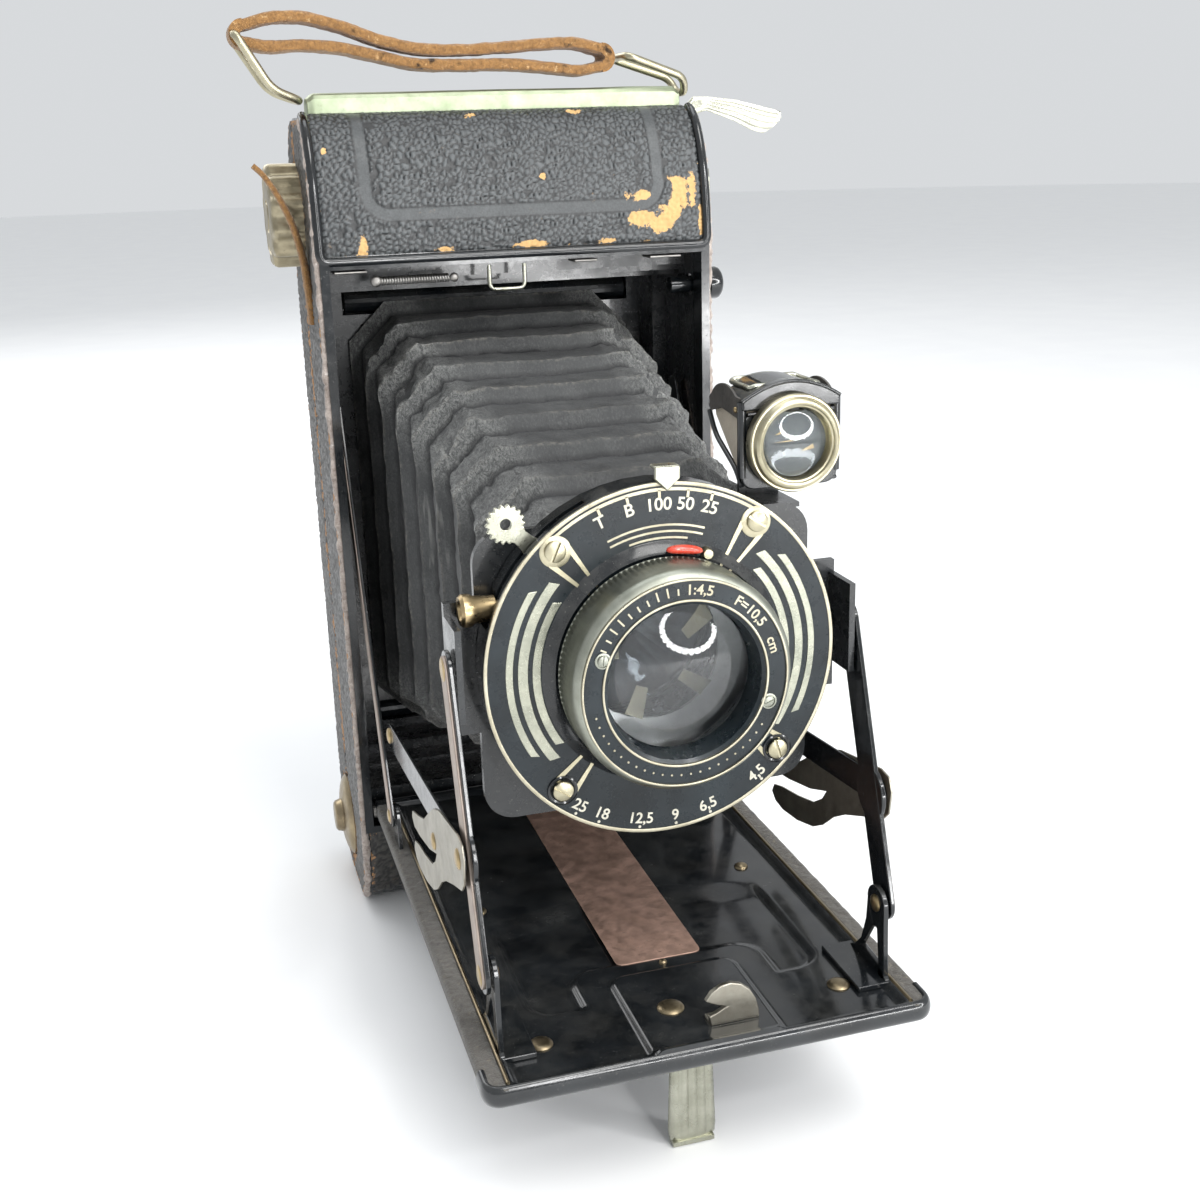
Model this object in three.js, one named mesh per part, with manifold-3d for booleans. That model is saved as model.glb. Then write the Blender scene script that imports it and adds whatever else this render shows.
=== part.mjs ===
// Folding bellows roll-film camera, standing upright with its bed open and the lens erected.
// Millimetres, +Z up, the lens looks along -Y, +X is on the right when facing the lens.
import * as THREE from "three";
import { mergeVertices } from "three/addons/utils/BufferGeometryUtils.js";
import Module from "manifold-3d";

const wasm = await Module();
wasm.setup();

// ---- driving dimensions -------------------------------------------------------------------

const GAP = 0.3; // between pieces that touch
const SKIN = 0.5; // leather covering

// body
const BODY_HALF_WIDTH = 39.2;
const BODY_HEIGHT = 165;
const BODY_FRONT = -19;
const BODY_BACK = 20;
const BASE_HALF_DEPTH = 7.4; // flat at the base and at the top
const PARTING = 4; // the back door starts behind this plane
const WALL = 1.3;
const LIP_TOP = 137.4; // upper edge of the front opening
const LIP_BOTTOM = 21.6;
const FRAME_BOTTOM = 20.2;
const END_TOP = 139; // where the rounded top end begins
const END_BOTTOM = 20.2;
const OPENING_HALF = 37.5;

const BUTTON = [-12.5, 130]; // bed release, on the right side, as [y, z]

// film path
const FILM_PLANE = 14;
const GATE_HALF_WIDTH = 28;
const GATE_BOTTOM = 40;
const GATE_TOP = 123;
const SPOOL_Y = 4.5;
const SPOOL_TOP_Z = 146.5;
const SPOOL_LOW_Z = 14.3;
const SPOOL_R = 12.7;
const SPOOL_HALF = 32;

// folding bed and linkage, as [y, z]
const BED_HINGE = [-18.2, 24.3];
const BED_HALF = 36.8;
const BED_FRONT = -125;
const BED_REAR = -16.6;
const BED_FLOOR_TOP = 25.5;
const BED_RIM_TOP = 26.7;
const BED_UNDER = 24.3;
const PIVOT_LOW = [-112.8, 38.8]; // bed ear to strut
const PIVOT_KNEE = [-106.9, 55.8]; // strut to brace
const PIVOT_TOP = [-97.5, 83]; // strut to lens standard
const BRACE_END = [-37.6, 49];
const STAY_FOOT = [-39.2, 32.8];
const STAY_HEAD = [-5.2, 107.7];
const EAR_X = 31.9; // inner face of each linkage layer, on the right side
const STRUT_X = 33.2;
const BRACE_X = 34.7;
const STAY_X = 35.8;

// lens
const LENS_Z = 80.9;
const STANDARD_FRONT = -93;
const STANDARD_BACK = -91.6;
const CASE_BACK = -93.3;
const CASE_FRONT = -100;
const CASE_R = 28.4;
const FACE_BACK = -100.3;
const FACE_FRONT = -101.1;
const FACE_R = 28.9;
const RING_FRONT = -111.85;
const RING_R = 17.65;
const CELL_R = 15.1;
const GLASS_R = 11.8;

// brilliant finder, turning about the axis of its front lens
const FINDER_X = 22.3;
const FINDER_Z = 115;
const FINDER_HALF_WIDTH = 8.2;
const FINDER_HALF_HEIGHT = 8.5;
const FINDER_FRONT = -98.6;
const FINDER_BACK = -84.8;

// ---- materials ----------------------------------------------------------------------------

const look = (color, roughness, metalness) =>
  new THREE.MeshStandardMaterial({ color, roughness, metalness });
const LEATHER = look(0x1b1a19, 0.7, 0);
const ENAMEL = look(0x0c0c0d, 0.25, 0.2);
const NICKEL = look(0xb9b89f, 0.35, 1);
const BRONZE = look(0x8d7448, 0.45, 1);
const PEWTER = look(0x8e8f8a, 0.45, 1);
const CLOTH = look(0x232324, 0.9, 0);
const SUEDE = look(0x6e4522, 0.95, 0);
const GLASS = look(0xb6c4c6, 0.05, 0);
const RED = look(0xa01f18, 0.4, 0);
const STEEL = look(0x6d6d6c, 0.4, 1);

// ---- solids -------------------------------------------------------------------------------

function solid(geometry) {
  const bare = geometry.clone();
  for (const name of Object.keys(bare.attributes)) {
    if (name !== "position") bare.deleteAttribute(name);
  }
  const merged = mergeVertices(bare, 1e-4);
  return new wasm.Manifold(
    new wasm.Mesh({
      numProp: 3,
      vertProperties: new Float32Array(merged.attributes.position.array),
      triVerts: new Uint32Array(merged.index.array),
    }),
  );
}

const joined = (...pieces) => pieces.reduce((whole, piece) => whole.add(piece));
const cut = (whole, ...tools) => tools.reduce((left, tool) => left.subtract(tool), whole);

function box([x0, x1], [y0, y1], [z0, z1]) {
  const geometry = new THREE.BoxGeometry(x1 - x0, y1 - y0, z1 - z0);
  geometry.translate((x0 + x1) / 2, (y0 + y1) / 2, (z0 + z1) / 2);
  return solid(geometry);
}

// A right-handed frame whose third axis is the extrusion: X, Y or Z.
const FRAMES = {
  x: new THREE.Matrix4().makeBasis(
    new THREE.Vector3(0, 1, 0),
    new THREE.Vector3(0, 0, 1),
    new THREE.Vector3(1, 0, 0),
  ),
  y: new THREE.Matrix4().makeBasis(
    new THREE.Vector3(0, 0, 1),
    new THREE.Vector3(1, 0, 0),
    new THREE.Vector3(0, 1, 0),
  ),
  z: new THREE.Matrix4(),
};

// A shape extruded along an axis. Its points are [y, z] on x, [z, x] on y and [x, y] on z.
function slab(axis, shape, [from, to], curveSegments = 8) {
  const geometry = new THREE.ExtrudeGeometry(shape, {
    depth: to - from,
    bevelEnabled: false,
    curveSegments,
  });
  geometry.translate(0, 0, from);
  geometry.applyMatrix4(FRAMES[axis]);
  return solid(geometry);
}

const outline = (points) => new THREE.Shape(points.map(([a, b]) => new THREE.Vector2(a, b)));

// A lathe about an axis through a centre. The profile is [radius, height] going up the outside
// and down the inside, or from axis to axis.
function turned(axis, [a, b], profile, segments = 32) {
  const points = profile.map(([r, h]) => new THREE.Vector2(r, h));
  const geometry = new THREE.LatheGeometry(points, segments);
  // the lathe turns about its own Y; send that to the third axis of the frame
  geometry.applyMatrix4(
    new THREE.Matrix4().makeBasis(
      new THREE.Vector3(1, 0, 0),
      new THREE.Vector3(0, 0, 1),
      new THREE.Vector3(0, -1, 0),
    ),
  );
  geometry.translate(a, b, 0);
  geometry.applyMatrix4(FRAMES[axis]);
  const made = solid(geometry);
  if (made.volume() > 0) return made;
  return turned(axis, [a, b], [...profile].reverse(), segments);
}

const disc = (axis, centre, [from, to], radius, segments = 32) =>
  turned(
    axis,
    centre,
    [
      [0, from],
      [radius, from],
      [radius, to],
      [0, to],
    ],
    segments,
  );

const tube = (axis, centre, [from, to], outer, inner, segments = 32) =>
  cut(
    disc(axis, centre, [from, to], outer, segments),
    disc(axis, centre, [from - 1, to + 1], inner, segments),
  );

// A flat bar in the YZ plane with round ends, from one pivot to another.
function link([y0, z0], [y1, z1], radius, span) {
  const along = Math.atan2(z1 - z0, y1 - y0);
  const shape = new THREE.Shape();
  shape.absarc(y1, z1, radius, along - Math.PI / 2, along + Math.PI / 2, false);
  shape.absarc(y0, z0, radius, along + Math.PI / 2, along + 1.5 * Math.PI, false);
  return slab("x", shape, span, 6);
}

// The span [inner, outer] of a layer on the right side, or its mirror on the left.
const sided = (side, [near, far]) => (side > 0 ? [near, far] : [-far, -near]);

const group = new THREE.Group();
group.name = "folding_camera";

function add(name, made, material) {
  const mesh = made.getMesh();
  const geometry = new THREE.BufferGeometry();
  const corners = new Float32Array(mesh.numVert * 3);
  for (let i = 0; i < mesh.numVert; i += 1) {
    for (let k = 0; k < 3; k += 1) {
      corners[3 * i + k] = mesh.vertProperties[mesh.numProp * i + k];
    }
  }
  geometry.setAttribute("position", new THREE.BufferAttribute(corners, 3));
  geometry.setIndex(new THREE.BufferAttribute(new Uint32Array(mesh.triVerts), 1));
  geometry.computeVertexNormals();
  const placed = new THREE.Mesh(geometry, material);
  placed.name = name;
  group.add(placed);
}

// ---- body outline -------------------------------------------------------------------------

// Quarter of an ellipse from one point to another, without its first point.
function bend(centre, radii, from, to, steps = 7) {
  return Array.from({ length: steps }, (_, i) => {
    const angle = from + ((to - from) * (i + 1)) / steps;
    return [centre[0] + radii[0] * Math.cos(angle), centre[1] + radii[1] * Math.sin(angle)];
  });
}

// The side view of the body, shrunk by an inset: flat base and top, rounded ends. The metal lies
// METAL_INSET inside the leather, and its flats are at the base plane and at the body's height.
const METAL_INSET = SKIN + 0.1;

function bodyOutline(inset) {
  const front = BODY_FRONT + inset;
  const back = BODY_BACK - inset;
  const flat = BASE_HALF_DEPTH;
  const base = inset - METAL_INSET;
  const top = BODY_HEIGHT - base;
  const half = Math.PI / 2;
  return outline([
    [-flat, base],
    [flat, base],
    ...bend([flat, END_BOTTOM], [back - flat, END_BOTTOM - base], -half, 0),
    ...[[back, END_TOP]],
    ...bend([flat, END_TOP], [back - flat, top - END_TOP], 0, half),
    ...[[-flat, top]],
    ...bend([-flat, END_TOP], [-flat - front, top - END_TOP], half, 2 * half),
    ...[[front, END_BOTTOM]],
    ...bend([-flat, END_BOTTOM], [-flat - front, END_BOTTOM - base], 2 * half, 3 * half).slice(0, -1),
  ]);
}

const FAR = 60; // well past the body in depth
const inFront = (edge) => box([-FAR, FAR], [-FAR, edge], [-10, 200]);
const behind = (edge) => box([-FAR, FAR], [edge, FAR], [-10, 200]);

function bodyShell() {
  const front = slab("x", bodyOutline(METAL_INSET), [-BODY_HALF_WIDTH, BODY_HALF_WIDTH]);
  const gateBlock = box([-36, 36], [PARTING - 1, FILM_PLANE], [29, 132.6]);
  const shell = front.intersect(inFront(PARTING)).add(gateBlock);
  const chamber = (z) =>
    joined(
      disc("x", [SPOOL_Y, z], [-SPOOL_HALF - 0.8, SPOOL_HALF + 0.8], SPOOL_R + 0.7, 28),
      box([-SPOOL_HALF - 0.8, SPOOL_HALF + 0.8], [SPOOL_Y, FAR], [z - SPOOL_R - 0.7, z + SPOOL_R + 0.7]),
    );
  const shaft = (z) => disc("x", [SPOOL_Y, z], [-FAR, FAR], 2.6, 16);
  return cut(
    shell,
    box([-OPENING_HALF, OPENING_HALF], [-FAR, PARTING - 0.6], [28.6, 131.4]),
    // steps under the upper spool chamber, where the finder passes as the camera folds
    box([-OPENING_HALF, OPENING_HALF], [-FAR, -9.4], [28, LIP_TOP]),
    box([-OPENING_HALF, OPENING_HALF], [-FAR, -6], [28, 134]),
    box([-OPENING_HALF, OPENING_HALF], [-FAR, -3], [28, 132.6]),
    box([-38.2, 38.2], [-FAR, -14.6], [FRAME_BOTTOM - 0.1, LIP_TOP + 0.4]),
    box([-34.6, 34.6], [-FAR, FILM_PLANE - 1.4], [30.6, 131.2]),
    box([-GATE_HALF_WIDTH, GATE_HALF_WIDTH], [-FAR, FAR], [GATE_BOTTOM, GATE_TOP]),
    chamber(SPOOL_TOP_Z),
    chamber(SPOOL_LOW_Z),
    shaft(SPOOL_TOP_Z),
    shaft(SPOOL_LOW_Z),
    box([-36.3, 36.3], [3, FAR], [-1, 2]),
    disc("x", BUTTON, [30, FAR], 2.2, 16),
    disc("x", BUTTON, [BODY_HALF_WIDTH - 1, FAR], 3.7, 16),
  );
}

// Film rollers lie in notches at the ends of the gate.
const ROLLER_R = 2.2;
const ROLLER_Y = FILM_PLANE + 0.4;
const rollerHeights = { lower: 35, upper: 127.6 };

const doorPin = () => disc("x", [PARTING + 0.15, 0.9], [-36.5, 36.5], 0.6, 12);

function rollerNotches(shell) {
  const notch = (z) =>
    box([-31.6, 31.6], [ROLLER_Y - ROLLER_R - GAP, FAR], [z - ROLLER_R - GAP, z + ROLLER_R + GAP]);
  return cut(shell, notch(rollerHeights.lower), notch(rollerHeights.upper));
}

function openingFrame() {
  const frame = box([-BODY_HALF_WIDTH, BODY_HALF_WIDTH], [-19.6, -18.8], [FRAME_BOTTOM, END_TOP]);
  const shell = box([-38, 38], [-19, -15], [FRAME_BOTTOM + GAP, LIP_TOP + 0.1]);
  const window = box([-OPENING_HALF, OPENING_HALF], [-FAR, 0], [LIP_BOTTOM, LIP_TOP - 0.4]);
  return cut(joined(frame, shell), window);
}

function frontCover(name, isWanted) {
  const outer = slab("x", bodyOutline(0), [-38.6, 38.6]);
  const sheet = cut(outer, slab("x", bodyOutline(SKIN), [-FAR, FAR])).intersect(isWanted);
  add(name, sheet, LEATHER);
}

function sideCover(name, side, region, holes = []) {
  const sheet = slab(
    "x",
    bodyOutline(SKIN + 0.6),
    sided(side, [BODY_HALF_WIDTH + GAP, BODY_HALF_WIDTH + GAP + SKIN]),
  ).intersect(region);
  add(name, cut(sheet, ...holes), LEATHER);
}

const hole = (z) => disc("x", [SPOOL_Y, z], [-FAR, FAR], 9.4, 24);
const bodyRegion = inFront(PARTING - 0.5);
const doorRegion = behind(PARTING + 0.8);

function addBody() {
  add("body_shell", joined(rollerNotches(bodyShell()), doorPin()), ENAMEL);
  add("opening_frame", openingFrame(), ENAMEL);
  frontCover("front_leather_upper", box([-FAR, FAR], [-FAR, -7.8], [END_TOP + GAP, 200]));
  frontCover("front_leather_lower", box([-FAR, FAR], [-FAR, -7.8], [2, FRAME_BOTTOM - GAP]));
  sideCover("body_leather_left", -1, bodyRegion, [hole(SPOOL_TOP_Z), hole(SPOOL_LOW_Z)]);
  sideCover("body_leather_right", 1, bodyRegion, [
    hole(SPOOL_TOP_Z),
    hole(SPOOL_LOW_Z),
    disc("x", BUTTON, [0, FAR], 4.2, 20),
  ]);
}

// ---- back door ----------------------------------------------------------------------------

const DOOR_WINDOW_Z = 103; // red window, above the middle of the back
const DOOR_WINDOW_R = 4;

function addDoor() {
  const outer = slab("x", bodyOutline(METAL_INSET), [-BODY_HALF_WIDTH, BODY_HALF_WIDTH]);
  const inner = slab("x", bodyOutline(SKIN + WALL), [-BODY_HALF_WIDTH + WALL, BODY_HALF_WIDTH - WALL]);
  const window = disc("y", [DOOR_WINDOW_Z, 0], [0, FAR], DOOR_WINDOW_R, 24);
  const shaftSlot = (z) =>
    joined(
      disc("x", [SPOOL_Y, z], [-FAR, FAR], 2.9, 16),
      box([-FAR, FAR], [0, SPOOL_Y], [z - 2.9, z + 2.9]),
    );
  const door = cut(
    outer.subtract(inner),
    window,
    shaftSlot(SPOOL_TOP_Z),
    shaftSlot(SPOOL_LOW_Z),
    box([-FAR, FAR], [0, 5.4], [-5, 2.2]),
  );
  add("back_door", door.intersect(behind(PARTING + GAP)), ENAMEL);
  sideCover("door_leather_left", -1, doorRegion, [hole(SPOOL_TOP_Z), hole(SPOOL_LOW_Z)]);
  sideCover("door_leather_right", 1, doorRegion, [hole(SPOOL_TOP_Z), hole(SPOOL_LOW_Z)]);
  const backSheet = cut(slab("x", bodyOutline(0), [-38.6, 38.6]), slab("x", bodyOutline(SKIN), [-FAR, FAR]));
  const backRegion = box([-FAR, FAR], [14, FAR], [8, 157]);
  const rim = disc("y", [DOOR_WINDOW_Z, 0], [0, FAR], DOOR_WINDOW_R + 5.5, 24);
  add("door_leather_back", cut(backSheet.intersect(backRegion), rim), LEATHER);
  const doorBack = BODY_BACK - SKIN - 0.1;
  const pane = disc("y", [DOOR_WINDOW_Z, 0], [doorBack - 1, doorBack - 0.4], DOOR_WINDOW_R - GAP, 24);
  add("red_window", pane, RED);
  const coverPlate = new THREE.Shape();
  coverPlate.absarc(DOOR_WINDOW_Z, 0, 5, 0, Math.PI * 2, false);
  const arm = box([-1.6, 1.6], [doorBack + 0.9, doorBack + 1.5], [DOOR_WINDOW_Z + 4, DOOR_WINDOW_Z + 8.4]);
  const cover = joined(slab("y", coverPlate, [doorBack + 0.9, doorBack + 1.5], 24), arm);
  add("window_cover", cover, NICKEL);
  const plate = box([-29.5, 29.5], [FILM_PLANE + 0.6, FILM_PLANE + 1.5], [44, 119]);
  const springs = [58, 102].map((z) => box([-6, 6], [FILM_PLANE + 1.4, doorBack - WALL - 1], [z, z + 3]));
  add("pressure_plate", joined(plate, ...springs), ENAMEL);
}

// ---- spools, knob and studs ---------------------------------------------------------------

function addFilmTransport() {
  const flange = (side) =>
    disc("x", [SPOOL_Y, SPOOL_TOP_Z], sided(side, [SPOOL_HALF - 0.9, SPOOL_HALF - 0.2]), SPOOL_R, 28);
  const core = disc("x", [SPOOL_Y, SPOOL_TOP_Z], [-SPOOL_HALF + 0.5, SPOOL_HALF - 0.5], 5, 16);
  const bore = disc("x", [SPOOL_Y, SPOOL_TOP_Z], [-FAR, FAR], 2.7, 16);
  add("take_up_spool", cut(joined(core, flange(1), flange(-1)), bore), ENAMEL);

  add("knob_plate", tube("x", [SPOOL_Y, SPOOL_TOP_Z], [-40.9, -39.5], 9, 2.9, 32), BRONZE);
  const lobes = Array.from({ length: 12 }, (_, i) => {
    const angle = (i * Math.PI) / 6;
    const centre = [SPOOL_Y + 8.6 * Math.cos(angle), SPOOL_TOP_Z + 8.6 * Math.sin(angle)];
    return disc("x", centre, [-46.2, -42.4], 1.7, 10);
  });
  const knob = joined(disc("x", [SPOOL_Y, SPOOL_TOP_Z], [-46.2, -42.4], 8.8, 36), ...lobes);
  const neck = disc("x", [SPOOL_Y, SPOOL_TOP_Z], [-42.8, -41.2], 5, 20);
  const shaft = disc("x", [SPOOL_Y, SPOOL_TOP_Z], [-42, -28], 2.2, 16);
  const key = box([-31, -28.5], [SPOOL_Y - 0.4, SPOOL_Y + 0.4], [SPOOL_TOP_Z - 2.3, SPOOL_TOP_Z + 2.3]);
  add("winding_knob", joined(knob, neck, shaft, key), NICKEL);

  for (const [name, side, z] of [
    ["spool_stud_lower_left", -1, SPOOL_LOW_Z],
    ["spool_stud_lower_right", 1, SPOOL_LOW_Z],
    ["spool_stud_upper_right", 1, SPOOL_TOP_Z],
  ]) {
    const profile = [
      [0, 27.5],
      [2.2, 28],
      [2.2, 39.6],
      [9, 39.6],
      [8.6, 41],
      [6, 42.6],
      [0, 43.2],
    ].map(([r, h]) => [r, side * h]);
    add(name, turned("x", [SPOOL_Y, z], profile, 24), BRONZE);
  }
  for (const [end, z] of Object.entries(rollerHeights)) {
    add(`film_roller_${end}`, disc("x", [ROLLER_Y, z], [-31, 31], ROLLER_R, 16), NICKEL);
  }
}

// ---- top bar, strap and latches -----------------------------------------------------------

const RING_Y = -4.4;
const WIRE_R = 0.8;
// pivot, knee and apex of each ring as [x, z], and the half width in y at each
const RINGS = {
  left: [
    [-38.9, 168],
    [-44.1, 170],
    [-50.1, 179.9],
  ],
  right: [
    [38.9, 168],
    [37.9, 170.9],
    [25.7, 175],
  ],
};
const RING_HALF_WIDTHS = [2.4, 4.4, 5.8];
const STRAP_HALF_WIDTH = 3.8;
const STRAP_HALF_THICKNESS = 1.5;
const STRAP_SAG = 1.6;
const STRAP_SLACK = 2.8; // the right ring swings on a flatter path than the left one

// A closed wire loop through the pivot, knee and apex.
function strapRing(points) {
  const near = points.map(([x, z], i) => [x, RING_Y - RING_HALF_WIDTHS[i], z]);
  const away = points.map(([x, z], i) => [x, RING_Y + RING_HALF_WIDTHS[i], z]);
  const corners = [...near, ...away.reverse()];
  const round = Array.from({ length: 6 }, (_, i) => {
    const angle = (i * Math.PI) / 3;
    return [WIRE_R * Math.cos(angle), WIRE_R * Math.sin(angle)];
  });
  const sides = corners.map((from, i) => {
    const to = corners[(i + 1) % corners.length];
    const path = new THREE.LineCurve3(new THREE.Vector3(...from), new THREE.Vector3(...to));
    return solid(new THREE.ExtrudeGeometry(outline(round), { steps: 1, extrudePath: path }));
  });
  const balls = corners.map((at) => {
    const ball = new THREE.SphereGeometry(WIRE_R * 1.1, 6, 4);
    ball.translate(...at);
    return solid(ball);
  });
  return joined(...sides, ...balls);
}

// The strap is a doubled band slung between the apexes of the two rings.
function strap() {
  const clear = WIRE_R + GAP;
  const [leftX, leftZ] = RINGS.left[2];
  const [rightX, rightZ] = RINGS.right[2];
  const from = leftX + clear;
  const to = rightX - clear - STRAP_SLACK;
  const steps = 16;
  const centre = Array.from({ length: steps + 1 }, (_, i) => {
    const t = i / steps;
    return [from + (to - from) * t, leftZ + (rightZ - leftZ) * t - STRAP_SAG * Math.sin(Math.PI * t)];
  });
  const upper = centre.map(([x, z]) => [z + STRAP_HALF_THICKNESS, x]);
  const lower = centre.map(([x, z]) => [z - STRAP_HALF_THICKNESS, x]).reverse();
  return slab("y", outline([...upper, ...lower]), [RING_Y - STRAP_HALF_WIDTH, RING_Y + STRAP_HALF_WIDTH]);
}

function addTop() {
  const bar = box([-37.7, 37.7], [-7.4, -1.4], [BODY_HEIGHT + GAP, 169.3]);
  add("top_bar", bar, NICKEL);
  add("strap_ring_left", strapRing(RINGS.left), NICKEL);
  add("strap_ring_right", strapRing(RINGS.right), NICKEL);
  add("strap", strap(), SUEDE);
  const tab = outline([
    [160.5, 40.3],
    [160.5, 41.1],
    [164.6, 41.3],
    [164.4, 44.5],
    [162.1, 50.9],
    [159.3, 56.6],
    [160.9, 59.4],
    [163.8, 61.2],
    [165.1, 56],
    [166.3, 51],
    [167, 45],
    [167.1, 41.6],
    [165.8, 40.3],
  ]);
  add("latch_tab", slab("y", tab, [RING_Y - 0.5, RING_Y + 0.5]), NICKEL);
}

// ---- bed latch ----------------------------------------------------------------------------

function addBedLatch() {
  const button = [
    [0, 33],
    [1.8, 33],
    [1.8, 40.4],
    [3.3, 40.4],
    [3.3, 42.4],
    [2.2, 44],
    [0, 44.6],
  ];
  add("release_button", turned("x", BUTTON, button, 20), ENAMEL);
  const wing = box([-6.5, 1.5], [-17.6, -16.8], [134.4, 136.4]);
  const loopLegs = [-6.5, 0.7].map((x) => box([x, x + 0.8], [-17.6, -16.8], [131.2, 135]));
  add("catch_bail", joined(wing, box([-6.5, 1.5], [-17.6, -16.8], [131.2, 132]), ...loopLegs), NICKEL);
  add("catch_spring", box([-29, -12.5], [-16.8, -16.3], [133.4, 135.4]), NICKEL);
}

// ---- bed ----------------------------------------------------------------------------------

function roundedBed(half, front, rear, radius) {
  const shape = new THREE.Shape();
  shape.moveTo(half, rear);
  shape.lineTo(-half, rear);
  shape.lineTo(-half, front + radius);
  shape.absarc(-half + radius, front + radius, radius, Math.PI, 1.5 * Math.PI, false);
  shape.lineTo(half - radius, front);
  shape.absarc(half - radius, front + radius, radius, 1.5 * Math.PI, 2 * Math.PI, false);
  return shape;
}

const FOOT_Y = -111.5;
const FOOT_HALF = 4.1;
const FOOT_HINGE_Z = 22.6;

const EAR_FRONT = 4.5;
const EAR_REAR = 10;
const WELL_REAR = -1;
const HOOK_Y = -119.5;

function addBed() {
  const plate = slab("z", roundedBed(BED_HALF, BED_FRONT, BED_REAR, 3), [BED_UNDER, BED_RIM_TOP], 4);
  const well = slab("z", roundedBed(BED_HALF - 1, BED_FRONT + 1, WELL_REAR, 2.4), [BED_FLOOR_TOP, 40], 4);
  const platform = box([-10.8, 11.8], [BED_FRONT + 1, -100], [BED_FLOOR_TOP - 0.2, BED_FLOOR_TOP + 1]);
  const stayLugs = [-1, 1].map((side) =>
    box(
      sided(side, [BRACE_X, STAY_X - GAP]),
      [STAY_FOOT[0] - 3, STAY_FOOT[0] + 3],
      [BED_FLOOR_TOP - 0.2, 35],
    ),
  );
  const rodHole = disc("x", BED_HINGE, [-FAR, FAR], 1.5, 16);
  const rearRoll = disc("x", BED_HINGE, [-34, 34], 2.3, 16);
  add("bed", cut(joined(plate.subtract(well), platform, rearRoll, ...stayLugs), rodHole), ENAMEL);
  add("bed_hinge_rod", disc("x", BED_HINGE, [-37.2, 37.2], 1.2, 16), NICKEL);
  add("bed_leather", slab("z", roundedBed(BED_HALF - 1, BED_FRONT + 1, -22, 2.4), [23.5, 24], 4), LEATHER);

  for (const side of [-1, 1]) {
    const name = side > 0 ? "right" : "left";
    const [y, z] = PIVOT_LOW;
    const ear = new THREE.Shape();
    ear.moveTo(y - EAR_FRONT, BED_FLOOR_TOP + GAP);
    ear.lineTo(y + EAR_REAR, BED_FLOOR_TOP + GAP);
    ear.quadraticCurveTo(y + 4.5, BED_FLOOR_TOP + 3, y + 3, z);
    ear.absarc(y, z, 3, 0, Math.PI, false);
    const opening = outline([
      [y - 1.4, BED_FLOOR_TOP + 2.6],
      [y + 4.2, BED_FLOOR_TOP + 3.4],
      [y + 0.8, z - 4.6],
      [y - 0.6, z - 4.6],
    ]);
    const upright = cut(
      slab("x", ear, sided(side, [EAR_X, EAR_X + 1]), 6),
      slab("x", opening, [-FAR, FAR]),
    );
    const base = box(
      sided(side, [EAR_X - 5, EAR_X + 1]),
      [y - EAR_FRONT, y + EAR_REAR],
      [BED_FLOOR_TOP + GAP, BED_FLOOR_TOP + 1.1],
    );
    add(`bed_ear_${name}`, joined(upright, base), ENAMEL);
  }

  const hook = outline([
    [0, 0.5],
    [1.5, 0.2],
    [2.7, 3.1],
    [3.6, 1.4],
    [4.4, -0.4],
    [5.7, 1],
    [6.7, 3.2],
    [6.4, 5.2],
    [4.7, 7.2],
    [2.4, 8.3],
    [0, 8.6],
  ].map(([z, x]) => [z + BED_FLOOR_TOP + 1.3, x]));
  const hookBase = box([0.5, 8.6], [HOOK_Y, HOOK_Y + 3], [BED_FLOOR_TOP + 1.3, BED_FLOOR_TOP + 1.9]);
  add("bed_catch_hook", joined(slab("y", hook, [HOOK_Y, HOOK_Y + 1]), hookBase), NICKEL);

  const foot = outline([
    [FOOT_Y - 1.2, 0.02],
    [FOOT_Y + 0.2, 0.02],
    [FOOT_Y + 1, FOOT_HINGE_Z + 0.4],
    [FOOT_Y, FOOT_HINGE_Z + 0.4],
  ]);
  add("bed_foot", slab("x", foot, [-FOOT_HALF, FOOT_HALF]), NICKEL);
}

// ---- linkage ------------------------------------------------------------------------------

function addLinkage() {
  for (const side of [-1, 1]) {
    const name = side > 0 ? "right" : "left";
    const layer = sided(side, [STRUT_X, STRUT_X + 1.2]);
    const knee = disc("x", PIVOT_KNEE, layer, 4.6, 20);
    const strut = joined(
      link(PIVOT_LOW, PIVOT_KNEE, 3, layer),
      link(PIVOT_KNEE, PIVOT_TOP, 3, layer),
      knee,
    );
    add(`strut_${name}`, strut, NICKEL);
    add(`brace_${name}`, link(PIVOT_KNEE, BRACE_END, 2.6, sided(side, [BRACE_X, BRACE_X + 0.8])), ENAMEL);
    add(`stay_${name}`, link(STAY_FOOT, STAY_HEAD, 2.3, sided(side, [STAY_X, STAY_X + 0.8])), NICKEL);
  }
}

// ---- lens standard, bellows and shutter ---------------------------------------------------

// A rectangle with round corners in the plane of the lens, centred on it in X.
function rounded(halfWidth, low, high, radius) {
  const shape = new THREE.Shape();
  const side = halfWidth - radius;
  const centres = [
    [high - radius, side],
    [low + radius, side],
    [low + radius, -side],
    [high - radius, -side],
  ];
  centres.forEach(([z, x], quarter) => {
    const start = (quarter * Math.PI) / 2;
    shape.absarc(z, x, radius, start, start + Math.PI / 2, false);
  });
  return shape;
}

const PLEATS = 8;
const BELLOWS_REAR = 11.2;
const BELLOWS_FRONT = STANDARD_BACK + GAP;
const BELLOWS_Z = 80.9;
const PLEAT_DEPTH = 2.4;
const CHAMFER = 8;

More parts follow.
